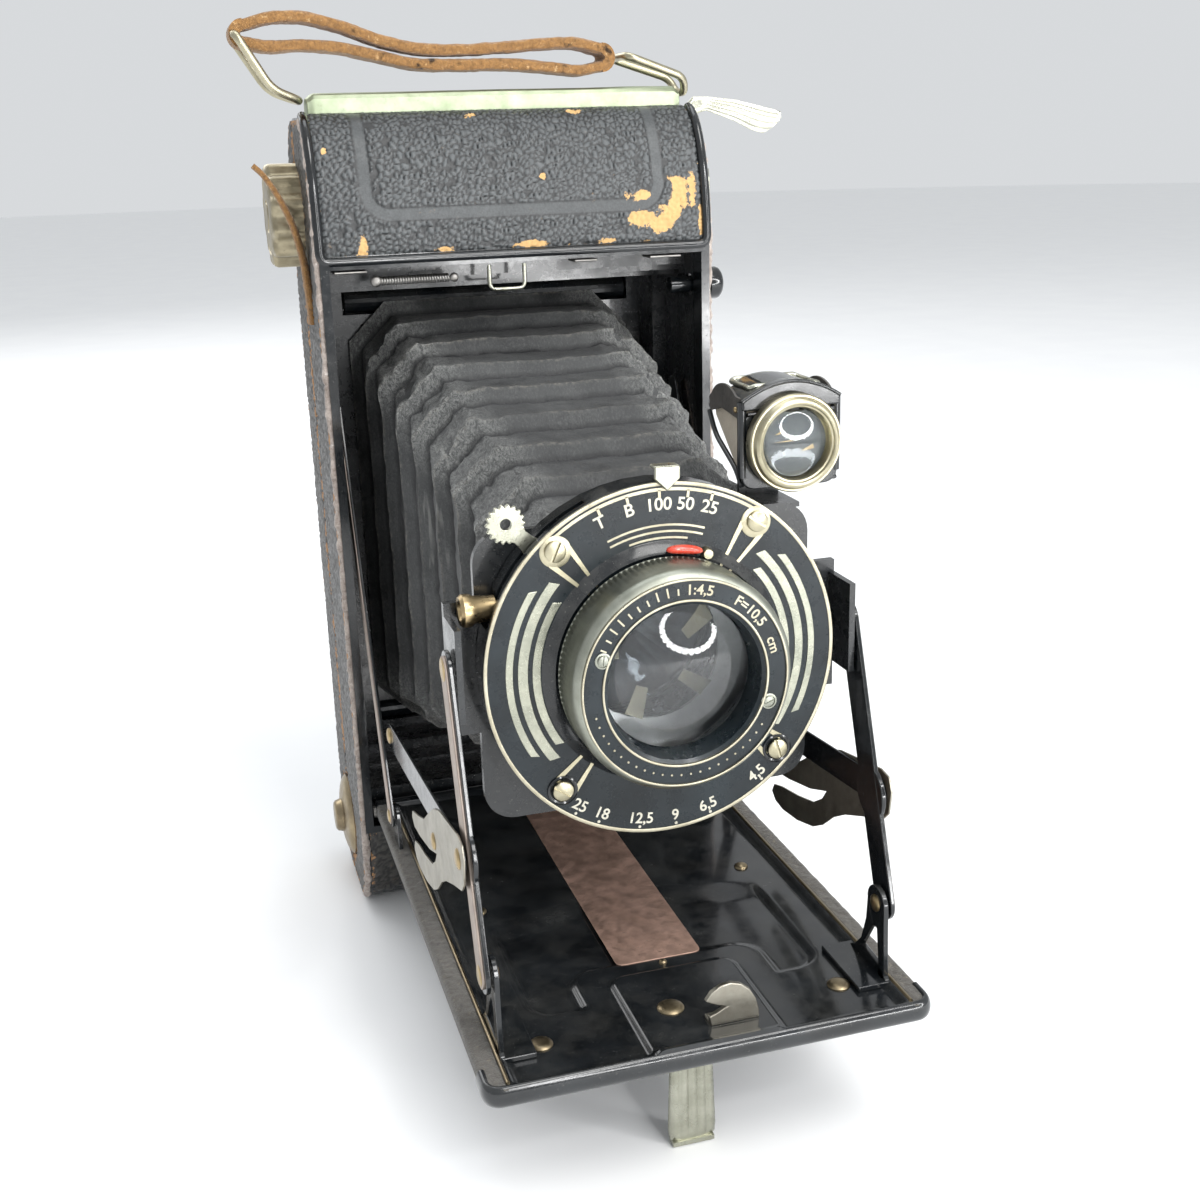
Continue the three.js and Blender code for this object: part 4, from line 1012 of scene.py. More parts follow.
def add_catch():
    low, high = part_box("catch_spring")
    y, z = (low.y + high.y) / 2 / MM, (low.z + high.z) / 2 / MM
    start, end = low.x / MM, high.x / MM
    turns, steps = 26, 14
    t = np.linspace(0, 1, turns * steps)
    coil = np.stack([start + 1.5 + (end - start - 3) * t, y + 0.72 * np.cos(t * turns * 2 * math.pi),
                     z + 0.72 * np.sin(t * turns * 2 * math.pi)], 1)
    shape = swept(Shape(), coil, 0.2, around=6, up=(1, 0.01, 0))
    rivet(shape, (start + 0.6, y - 0.4, z), (0, -1, 0), 1.1, 0.6)
    rivet(shape, (end - 0.6, y - 0.4, z), (0, -1, 0), 0.9, 0.6)
    piece("catch_coil", shape, "camera", STEEL, "catch_spring", sharp=60)
    low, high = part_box("catch_bail")
    y = (low.y + high.y) / 2 / MM
    top, bottom = high.z / MM, low.z / MM
    left, right = low.x / MM, high.x / MM
    path = rounded_path([(left + 0.45, y, top), (left + 0.45, y, bottom + 0.45),
                         (right - 0.45, y, bottom + 0.45),
                         (right - 0.45, y, top)], 1.5, 8)
    shape = swept(Shape(), path, 0.42, around=10, up=(0, 1, 0.001))
    piece("catch_loop", shape, "bail", NICKEL, "catch_bail", sharp=60)


def add_top():
    low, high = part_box("top_bar")
    x0, x1, y0, y1 = low.x / MM, high.x / MM, low.y / MM, high.y / MM
    z0, z1 = low.z / MM, high.z / MM
    profile = [(y0, z0), (y0, z1 - 1.1), (y0 + 0.5, z1 - 0.25), (y0 + 1.4, z1), (y1 - 1.0, z1),
               (y1, z1 - 1.0), (y1, z0)]
    steps = np.concatenate([np.linspace(x0, x0 + 1.6, 5), np.linspace(x0 + 3, x1 - 3, 60),
                            np.linspace(x1 - 1.6, x1, 5)])
    rows = []
    for x in steps:
        end = min(x - x0, x1 - x)
        dip = 0.9 * (1 - smooth(end, 0, 1.5)) + 0.05 * float(lattice(x, 0.0, 9, 5))
        rows.append([(x, y + (0.25 * dip if y < -4 else -0.25 * dip),
                      z if z == z0 else z - dip * (z - z0) / (z1 - z0))
                     for y, z in profile])
    piece("handle_bar", tube(Shape(), rows), "camera", PALE_NICKEL, "top_bar", bevel=0.25,
          sharp=30)
    dome = rivet(Shape(), (0.6, 3.2, BODY_TOP - 0.1), (0, 0, 1), 3.0, 1.9, 40)
    piece("top_stud", dome, "camera", NICKEL)
    for side in ("left", "right"):
        ring(side)
    strap()
    latch()


RING_POINTS = {"left": ((-38.9, 168.0), (-44.1, 170.0), (-50.1, 179.9)),
               "right": ((38.9, 168.0), (37.9, 170.9), (25.7, 175.0))}
RING_Y = -4.4


def ring(side):
    widths = (2.4, 4.4, 5.8)
    near = [(x, RING_Y - w, z) for (x, z), w in zip(RING_POINTS[side], widths)]
    away = [(x, RING_Y + w, z) for (x, z), w in zip(RING_POINTS[side], widths)]
    path = rounded_path(near + away[::-1], 2.4, 7, closed=True)
    shape = swept(Shape(), path, 0.8, around=14, closed=True, up=(0.3, 0.02, 1))
    piece(f"wire_ring_{side}", shape, f"ring_{side}", CREAM_NICKEL, f"strap_ring_{side}",
          sharp=70)


def smooth_line(t, along, values):
    """A smooth line through given points, from a moving average of the straight one."""
    straight = np.interp(t, along, values)
    reach = 9
    padded = np.concatenate([np.full(reach, straight[0]), straight, np.full(reach, straight[-1])])
    return np.convolve(padded, np.hanning(2 * reach + 1) / np.hanning(2 * reach + 1).sum(), "valid")


def strap():
    """One long band doubled through both rings. Its two strands part near the left ring."""
    low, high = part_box("strap")
    x0, x1 = low.x / MM, high.x / MM
    left_z, right_z = RING_POINTS["left"][2][1], RING_POINTS["right"][2][1]
    steps, around = 150, 60
    t = np.linspace(0, 1, steps)
    x = x0 + 0.55 + (x1 - x0 - 1.1) * t
    line = left_z + (right_z - left_z) * t
    along = (0, 0.06, 0.16, 0.26, 0.36, 0.45, 0.53, 0.62, 0.70, 0.77, 0.87, 0.94, 1)
    upper = line + smooth_line(t, along, (1.4, 3.2, 4.0, 2.6, 0.6, -0.6, -0.6, -0.2, 0.6, 1.2, 2.1, 2.4,
                                          1.4))
    lower = line + smooth_line(t, along, (-1.4, -2.0, -1.2, -1.2, -2.3, -3.4, -3.4, -3.0, -2.5, -2.4, -2.6,
                                          -3.0, -1.6))
    half_width = (high.y - low.y) / 2 / MM - 0.25
    y = (high.y + low.y) / 2 / MM
    half = 1.1
    shape = Shape()
    for centre, seed in ((upper, 81), (lower, 91)):
        rows = []
        turn = np.linspace(0, 2 * math.pi, around, endpoint=False)
        flat = np.abs(np.cos(turn)) ** 0.25 * np.sign(np.cos(turn))
        thin = np.abs(np.sin(turn)) ** 0.6 * np.sign(np.sin(turn))
        for i in range(steps):
            here = np.full(turn.shape, x[i])
            rough = 0.14 * lattice(turn * 2, here, 0.8, seed) + 0.16 * lattice(turn, here, 2.5, seed + 1)
            rows.append(np.stack([here, y + flat * (half_width + 0.8 * rough),
                                  centre[i] + thin * (half + 0.5 * rough)], 1))
        tube(shape, rows)
    for i, bulge in ((0, -1), (-1, 1)):
        z, spread = (upper[i] + lower[i]) / 2, (upper[i] - lower[i]) / 2
        arc = np.linspace(-math.pi / 2, math.pi / 2, 13)
        out = [(x[i] + bulge * 2.6 * math.cos(a), z + (spread + half) * math.sin(a)) for a in arc]
        within = [(x[i] + bulge * 0.5 * math.cos(a), z + max(spread - half, 0.2) * math.sin(a))
                  for a in arc]
        prism(shape, out + within[::-1], "y", y - half_width, y + half_width)
    return piece("strap_band", shape, "strap", STRAP_HIDE, "strap", sharp=60)


def latch():
    """The flared pull tab with ribs along it, and the bright strip down the right side."""
    low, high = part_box("latch_tab")
    face, rear = low.y / MM, high.y / MM
    top_edge = ((40.3, 165.8), (41.6, 167.1), (45, 167.0), (51, 166.3), (56, 165.1), (61.2, 163.8))
    low_edge = ((40.3, 160.5), (41.3, 163.4), (44.5, 164.4), (50.9, 162.1), (54.5, 160.3), (57.2, 159.5))
    steps, across = 60, 45
    share = np.linspace(0, 1, steps)
    v = np.linspace(0, 1, across)
    stations = np.linspace(0, 1, len(top_edge))
    upper = np.stack([np.interp(share, stations, [p[i] for p in top_edge]) for i in (0, 1)], 1)
    lower = np.stack([np.interp(share, stations, [p[i] for p in low_edge]) for i in (0, 1)], 1)
    grid = np.zeros((steps, across, 3))
    grid[:, :, ::2] = upper[:, None] * v[None, :, None] + lower[:, None] * (1 - v)[None, :, None]
    grid[..., 0] += (2.2 * smooth(share, 0.9, 1))[:, None] * np.sin(math.pi * v)[None, :] * 0.6
    ends = smooth(share, 0.3, 0.45) * (1 - smooth(share, 0.96, 1))
    ribs = 0.16 * np.abs(np.cos(v * 4 * math.pi))[None, :] * ends[:, None]
    grid[..., 1] = face + 0.2 - ribs + 0.2 * (2 * v[None, :] - 1) ** 4
    under = grid.copy()
    under[..., 1] = rear
    shape = grid_solid(Shape(), grid, under)
    piece("pull_tab", shape, "latch", NICKEL, "latch_tab", sharp=50, merge=False)
    steps, across = 90, 31
    share = np.linspace(0, 1, steps)
    v = np.linspace(-1, 1, across)
    depth = -13.5
    grid = np.zeros((steps, across, 3))
    grid[..., 2] = (97 + 56 * share)[:, None]
    grid[..., 1] = depth + 2.4 * v * (0.72 + 0.28 * smooth(share, 0, 0.06)
                                      * (1 - smooth(share, 0.95, 1)))[:, None]
    grid[..., 0] = 40.95 + 0.12 * np.abs(np.cos(v * 2.5 * math.pi)) - 0.2 * v ** 4
    under = grid.copy()
    under[..., 0] = 40.05
    hole = (np.hypot(grid[..., 1] + 12.5, grid[..., 2] - 130) < 3.9).ravel()
    shape = grid_solid(Shape(), grid, under)
    shape.faces = [f for f in shape.faces
                   if not (len(f) == 4 and all(i < steps * across and hole[i] for i in f))]
    piece("side_strip", shape, "camera", NICKEL, sharp=50, merge=False)


# ---- bellows --------------------------------------------------------------------------------

def bellows():
    """The tapered tube of leathercloth: eight pleats with cut corners."""
    low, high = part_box("bellows")
    rear, front = high.y / MM, low.y / MM
    pleats, depth, chamfer = 8, 2.4, 8.0
    valley = 0.17
    steps = (0, 0.035, 0.07, 0.11, 0.14, 0.17, 0.20, 0.24, 0.31, 0.4, 0.5, 0.62, 0.74, 0.86, 0.95)
    phases = [k + f for k in range(pleats) for f in steps] + [pleats]
    rings = len(phases)

    def loop(share, inset):
        wide = 31 + (23 - 31) * share - inset
        tall = 47 + (23.5 - 47) * share - inset
        cut = chamfer - inset * 0.6
        corners = [(wide - cut, tall), (wide, tall - cut), (wide, cut - tall), (wide - cut, -tall),
                   (cut - wide, -tall), (-wide, cut - tall), (-wide, tall - cut), (cut - wide, tall)]
        made, slant = [], []
        order = (14, 60, 14, 44, 14, 60, 14, 44)
        for k in range(8):
            a, b = np.array(corners[k]), np.array(corners[(k + 1) % 8])
            for i in range(order[k]):
                f = i / order[k]
                made.append(a + (b - a) * f)
                slant.append(1.0 if order[k] == 14 else max(0.0, 1 - min(f, 1 - f) * order[k] / 8.0))
        return np.array(made), np.array(slant)

    outer, inner, ridges, fuzzes, creases = [], [], [], [], []
    for i in range(rings):
        phase = phases[i]
        share = phase / pleats
        fold = phase % 1
        wave = 1 - fold / valley if fold < valley else (fold - valley) / (1 - valley)
        flat, slant = loop(share, depth * (1 - wave))
        y = rear + (front - rear) * share
        around = np.arange(len(flat)) * 1.2
        here = np.full(len(flat), y)
        out = flat / np.hypot(flat[:, 0], flat[:, 1])[:, None]
        crumple = 0.4 * lattice(around, here, 6.5, 101) + 0.22 * lattice(around, here, 2.0, 102)
        crumple = crumple * (0.4 + 1.9 * slant) + 0.16 * lattice(around, here * 0.2, 2.6, 105)
        crumple = crumple * min(1, 8 * share, 8 * (1 - share))
        outer.append(np.concatenate([(flat + out * (crumple - 0.25)[:, None]), np.full((len(flat), 1), y)],
                                    1))
        inner.append(np.concatenate([flat - out * 1.0, np.full((len(flat), 1), y)], 1))
        crest = float(smooth(wave, 0.86, 0.98))
        # Marks the fold valleys, where the cloth look paints shade.
        creases.append(np.full(len(flat), 1 - float(smooth(abs(fold - valley), 0.015, 0.05))))
        ridges.append(crest * (0.55 + 0.45 * lattice(around, here, 9, 103)))
        fuzzes.append(np.clip(slant * (0.55 + 0.5 * crest) + 0.12 * lattice(around, here, 5, 104), 0, 1))
    everything = np.array(outer + inner[::-1])
    n, m = everything.shape[:2]
    points = np.stack([everything[..., 0], everything[..., 2], LENS_Z + everything[..., 1]],
                      2).reshape(-1, 3)
    faces = []
    for i in range(n):
        a, b = i * m, ((i + 1) % n) * m
        for k in range(m):
            c = (k + 1) % m
            faces.append((a + k, a + c, b + c, b + k))
    ridge = np.concatenate([np.array(ridges).ravel(), np.zeros(rings * m)])
    fuzz = np.concatenate([np.array(fuzzes).ravel(), np.zeros(rings * m)])
    crease = np.concatenate([np.array(creases).ravel(), np.zeros(rings * m)])
    shape = Shape().add(points, faces, ridge=ridge, fuzz=fuzz, crease=crease)
    made = piece("bellows_cloth", shape, "camera", BELLOWS_CLOTH, "bellows", sharp=50,
                 merge=False)
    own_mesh(made)


# ---- lens and shutter -----------------------------------------------------------------------

CENTRE = (0, LENS_Z)


def at_angle(degrees, radius):
    a = math.radians(degrees)
    return radius * math.sin(a), LENS_Z + radius * math.cos(a)


def arc_band(shape, start, end, inner, outer, face, thick, slanted=0.0):
    """A raised arc on the shutter face, between two angles clockwise from the top."""
    steps = max(3, int(abs(end - start) / 3) + 1)
    lead = slanted * np.array([1, -1])
    outside = [at_angle(a, outer) for a in np.linspace(start + lead[0], end + lead[1], steps)]
    within = [at_angle(a, inner) for a in np.linspace(end, start, steps)]
    prism(shape, outside + within, "y", face, face - thick)


def on_arc(centre_angle, radius, face, inward=False):
    """Lays characters on an arc of the shutter face: layout x along the arc, y away from its baseline."""
    def locate(points):
        side = -1 if inward else 1
        angle = math.radians(centre_angle) + side * points[:, 0] / radius
        r = radius + side * points[:, 1]
        return np.stack([r * np.sin(angle), face - points[:, 2], LENS_Z + r * np.cos(angle)], 1)
    return locate


def tick(shape, angle, inner, outer, half_width, near, far):
    """A short bar on the shutter or lens face, pointing away from the lens axis."""
    x0, z0 = at_angle(angle, inner)
    x1, z1 = at_angle(angle, outer)
    across = np.array(at_angle(angle + 90, half_width)) - np.array((0, LENS_Z))
    prism(shape, [(x0 - across[0], z0 - across[1]), (x0 + across[0], z0 + across[1]),
                  (x1 + across[0], z1 + across[1]), (x1 - across[0], z1 - across[1])], "y", near, far)


def add_dial():
    """The shutter face: its rim, arcs, figures, forks, screws, cone and red index."""
    low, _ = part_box("shutter_face")
    face = low.y / MM
    rim = 28.9
    marks = Shape()
    figures = Shape()
    lathe(marks, "y", CENTRE, [(rim, face + 0.35), (rim, face - 0.1), (rim - 0.25, face - 0.16),
                               (rim - 0.55, face - 0.1),
                               (rim - 0.55, face + 0.2)], 180, closed=True)
    arc_band(marks, -40, 33, rim - 1.35, rim - 0.85, face + 0.05, 0.17)
    for angle in (-21.5, -11.5, -0.6, 9.2, 17.6):
        tick(marks, angle, rim - 2.4, rim - 1.2, 0.22, face + 0.05, face - 0.12)
    for angle, word in ((-22.5, "T"), (-11.6, "B"), (-0.9, "100"), (8.9, "50"), (18.0, "25")):
        letters(figures, word, 2.75, on_arc(angle, 24.6, face), 0.05)
    for angle, word in ((-147.1, "25"), (-155.9, "18"), (-170.6, "12,5"), (176.6, "9"), (164.2, "6,5"),
                        (143.5, "4,5")):
        letters(figures, word, 2.6, on_arc(angle, 27.3, face, inward=True), 0.05)
        dot = at_angle(angle, 27.95)
        lathe(figures, "y", dot, [(0.28, face), (0.24, face - 0.08), (0, face - 0.1)], 12)
    for half_angle, radius in ((23, 22.2), (23, 21.2), (15, 20.2)):
        arc_band(marks, -half_angle, half_angle * 0.8, radius - 0.16, radius + 0.16, face + 0.02, 0.07)
    piece("dial_marks", marks, "lens", MARKS, sharp=40)
    piece("dial_figures", figures, "lens", FIGURES, sharp=40)
    bands = Shape()
    for start, end, radius, wide in ((-122, -55, 24.9, 1.15), (-128, -48, 22.75, 1.6),
                                     (-124, -54, 20.6, 1.3),
                                     (51, 118, 25.1, 1.1), (44, 126, 22.95, 1.4), (48, 124, 20.7, 1.2)):
        arc_band(bands, start, end, radius - wide / 2, radius + wide / 2, face + 0.02, 0.14, slanted=2.0)
    piece("dial_bands", bands, "lens", BAND_METAL, bevel=0.08, sharp=40)
    forks = Shape()
    for angle, radius, bare in ((-40.5, 26.0, True), (36.1, 26.2, True), (132.1, 25.7, False),
                                (-138.0, 25.5, False)):
        for side in (-1, 1):
            a = np.array(at_angle(angle + side * 4.3, 25.2))
            b = np.array(at_angle(angle + side * 2.8, 17.2))
            d = (b - a) / np.linalg.norm(b - a)
            n = np.array([d[1], -d[0]])
            wide, thin = 0.42, 0.2
            prism(forks, [a + n * wide, b + n * thin, b - n * thin, a - n * wide], "y", face + 0.02,
                  face - 0.16)
        if bare:
            spot = at_angle(angle, radius)
            lathe(forks, "y", spot, [(2.5, face + 0.05), (2.5, face - 0.1), (2.3, face - 0.18),
                                     (0, face - 0.18)], 40)
    piece("dial_forks", forks, "lens", CREAM_NICKEL, sharp=40)
    heads = Shape()
    turns = (65, -35, -75, -35)
    for (angle, radius), turn in zip(((-40.5, 26.2), (36.1, 26.4), (132.1, 25.9), (-138.0, 25.7)), turns):
        x, z = at_angle(angle, radius)
        screw(heads, (x, face - 0.15, z), (0, -1, 0), 1.65, 0.75, turn)
    piece("dial_screws", heads, "lens", CREAM_NICKEL, sharp=35)
    collars = Shape()
    for angle, radius in ((132.1, 25.9), (-138.0, 25.7)):
        x, z = at_angle(angle, radius)
        lathe(collars, "y", (x, z), [(2.45, face + 0.05), (2.45, face - 0.3), (2.2, face - 0.4),
                                     (1.9, face - 0.3), (1.8, face - 0.1)], 40, closed=True)
    piece("screw_collars", collars, "lens", ENAMEL, sharp=40)
    cone = Shape()
    lathe(cone, "y", CENTRE, [(19.9, face + 0.1), (19.6, face - 0.12), (18.6, face - 0.6),
                              (17.95, face - 1.35), (17.9, face - 0.2)], 128,
          closed=True)
    piece("dial_cone", cone, "lens", DUSTY, sharp=40)
    index = Shape()
    middle = 9.5
    path, sizes = [], []
    for t in np.linspace(-1, 1, 21):
        x, z = at_angle(middle + t * 9.2, 18.75 + 0.15 * t)
        path.append((x, face - 1.7, z))
        sizes.append(0.85 * math.sqrt(max(0.0, 1 - abs(t) ** 2.6)) + 0.05)
    swept(index, path, sizes, around=14, flat=(0.8, 1.0), up=(0, 1, 0.001))
    red = Look("red_lacquer", rough=0.25, spec=0.6, coat=0.6)
    tone = red.mixed(red.span(red.noise(0.9, detail=5), 0.5, 0.7), (0.62, 0.045, 0.02), (0.70, 0.16, 0.10))
    red.bump(red.noise(0.6, detail=4), 0.03)
    red.paint(tone, red.span(red.noise(1.2), 0.3, 0.7, 0.2, 0.4))
    piece("focus_index", index, "lens", red.mat, sharp=60)
    tab = Shape()
    x, z = at_angle(middle + 12.5, 18.6)
    lathe(tab, "y", (x, z), [(0.95, face + 0.1), (0.95, face - 1.5), (0.75, face - 1.8), (0, face - 1.85)],
          20)
    piece("index_post", tab, "lens", CREAM_NICKEL, sharp=40)


def add_pointer_and_lever():
    """The shield that points at a speed, and the toothed release lever with its tapered arm."""
    low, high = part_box("speed_pointer")
    face, angle = low.y / MM, 1.5

    def spot(radius, offset):
        x, z = at_angle(angle, radius)
        turn = math.radians(angle)
        return x + offset * math.cos(turn), z - offset * math.sin(turn)

    outline = [spot(27.6, 0), spot(29.5, 2.05), spot(31.4, 2.05), spot(31.4, -2.05), spot(29.5, -2.05)]
    shield = prism(Shape(), outline, "y", face + 0.1, face + 0.8)
    top = [spot(31.5, 2.05), spot(31.5, -2.05), spot(30.9, -2.05), spot(30.9, 2.05)]
    prism(shield, top, "y", face + 0.5, high.y / MM)
    piece("speed_shield", shield, "speed_pointer", NICKEL, "speed_pointer", bevel=0.25,
          segments=3)
    low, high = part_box("release_lever")
    front, back = low.y / MM, high.y / MM
    lever_angle = -44.6
    head = at_angle(lever_angle, 33.4)
    rows = [(0.85, back), (3.0, back), (3.2, back - 0.15), (3.2, front + 0.15), (3.0, front), (0.85, front)]
    lever = lathe(Shape(), "y", head, rows, 108, teeth=(18, 0.45, 1, 4), closed=True)
    turn = math.radians(lever_angle)
    along, across = np.array((math.sin(turn), math.cos(turn))), np.array((math.cos(turn), -math.sin(turn)))
    centre = np.array((0, LENS_Z))
    side = ((31.6, 1.9), (30.4, 1.25), (28.8, 1.35), (26.5, 2.1), (22.0, 2.6))
    arm = [centre + along * r + across * w for r, w in side]
    arm += [centre + along * r - across * w for r, w in side[::-1]]
    prism(lever, arm, "y", front + 0.02, back - 0.02)
    piece("release_arm", lever, "release_lever", NICKEL, "release_lever", bevel=0.12, sharp=40)


def add_lens_barrel():
    """The knurled focus ring, the front cell with its marks, the front lens and the shutter blades."""
    low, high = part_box("focus_ring")
    front, rear = low.y / MM, high.y / MM
    outer = high.x / MM
    rows = [(outer - 1.3, rear), (outer - 0.2, rear), (outer, rear - 0.15)]
    rows += [(outer, rear - 0.3 - 0.25 * i) for i in range(8)]
    rows += [(outer - 0.05, rear - 2.6), (outer - 0.05, front + 1.6), (outer - 0.25, front + 0.7),
             (outer - 0.9, front + 0.1),
             (outer - 1.25, front), (outer - 1.3, front + 0.5)]
    ring_shape = lathe(Shape(), "y", CENTRE, rows, 480, teeth=(120, 0.22, 3, 10), closed=True)
    piece("focus_knurl", ring_shape, "focus", PEWTER, "focus_ring", sharp=40)
    low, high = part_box("front_cell")
    front = low.y / MM
    inner = [(16.3, front + 1.2), (16.3, front + 0.35), (13.2, front + 0.3), (12.4, front + 0.8),
             (11.95, front + 3.2),
             (11.9, front + 9), (12.6, front + 13.2), (14.6, front + 13.2), (15.1, front + 8),
             (15.1, front + 1.2)]
    tube = lathe(Shape(), "y", CENTRE, inner, 128, closed=True)
    piece("front_cell_tube", tube, "focus", DIAL, "front_cell", sharp=30)
    lines = Shape()
    for radius, wide in ((16.35, 0.18), (13.15, 0.2)):
        lathe(lines, "y", CENTRE, [(radius + wide, front + 0.45), (radius + wide * 0.8, front + 0.05),
                                   (radius, front),
                                   (radius - wide * 0.8, front + 0.05), (radius - wide, front + 0.45)], 160,
              closed=True)
    words = (("1:4,5", 9.0), ("F=10,5", 45.0), ("cm", 72.0))
    for word, angle in words:
        letters(lines, word, 2.2, on_arc(angle, 14.05, front + 0.3), 0.05)
    for angle in np.arange(-62, -4, 6.4):
        tall = 1.5 if round(angle) % 2 else 1.0
        tick(lines, angle, 14.1, 14.1 + tall, 0.13, front + 0.32, front + 0.25)
    for angle in np.arange(124, 262, 6.0):
        spot = at_angle(angle, 14.75)
        lathe(lines, "y", spot, [(0.2, front + 0.32), (0.16, front + 0.24), (0, front + 0.23)], 10)
    piece("front_cell_marks", lines, "focus", MARKS, sharp=40)
    heads = Shape()
    for angle, turn in ((-67.6, 80), (108.8, 20)):
        x, z = at_angle(angle, 14.1)
        lathe(heads, "y", (x, z), [(1.25, front + 0.4), (1.25, front + 0.15), (1.0, front + 0.1),
                                   (0.95, front + 0.3)], 24)
        screw(heads, (x, front + 0.32, z), (0, -1, 0), 0.8, 0.35, turn, 0.1)
    piece("set_screws", heads, "focus", PEWTER, sharp=35)
    low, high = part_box("front_glass")
    front, rear = low.y / MM, high.y / MM
    edge = high.x / MM
    bulge = [(edge * math.sin(a) / math.sin(1.0), front + 2.9 * (1 - math.cos(a)) / (1 - math.cos(1.0)))
             for a in np.linspace(0, 1.0, 18)]
    hollow = [(edge * (1 - t), rear - 1.2 * (1 - (1 - t) ** 2)) for t in np.linspace(0, 1, 10)]
    lens = lathe(Shape(), "y", CENTRE, bulge + hollow, 96)
    piece("front_lens", lens, "focus", GLASS, "front_glass", sharp=50)
    blades = Shape()
    blade = ((5.0, 0.0), (9.0, 0.9), (8.6, 3.4), (4.6, 1.6))
    for k in range(5):
        turn = math.radians(k * 72 + 20)
        flat = [(x * math.cos(turn) - z * math.sin(turn), LENS_Z + x * math.sin(turn) + z * math.cos(turn))
                for x, z in blade]
        prism(blades, flat, "y", -98.1 + 0.06 * k, -98.15 + 0.06 * k)
    piece("shutter_blades", blades, "lens", BLADES, sharp=30)


# ---- finder ---------------------------------------------------------------------------------

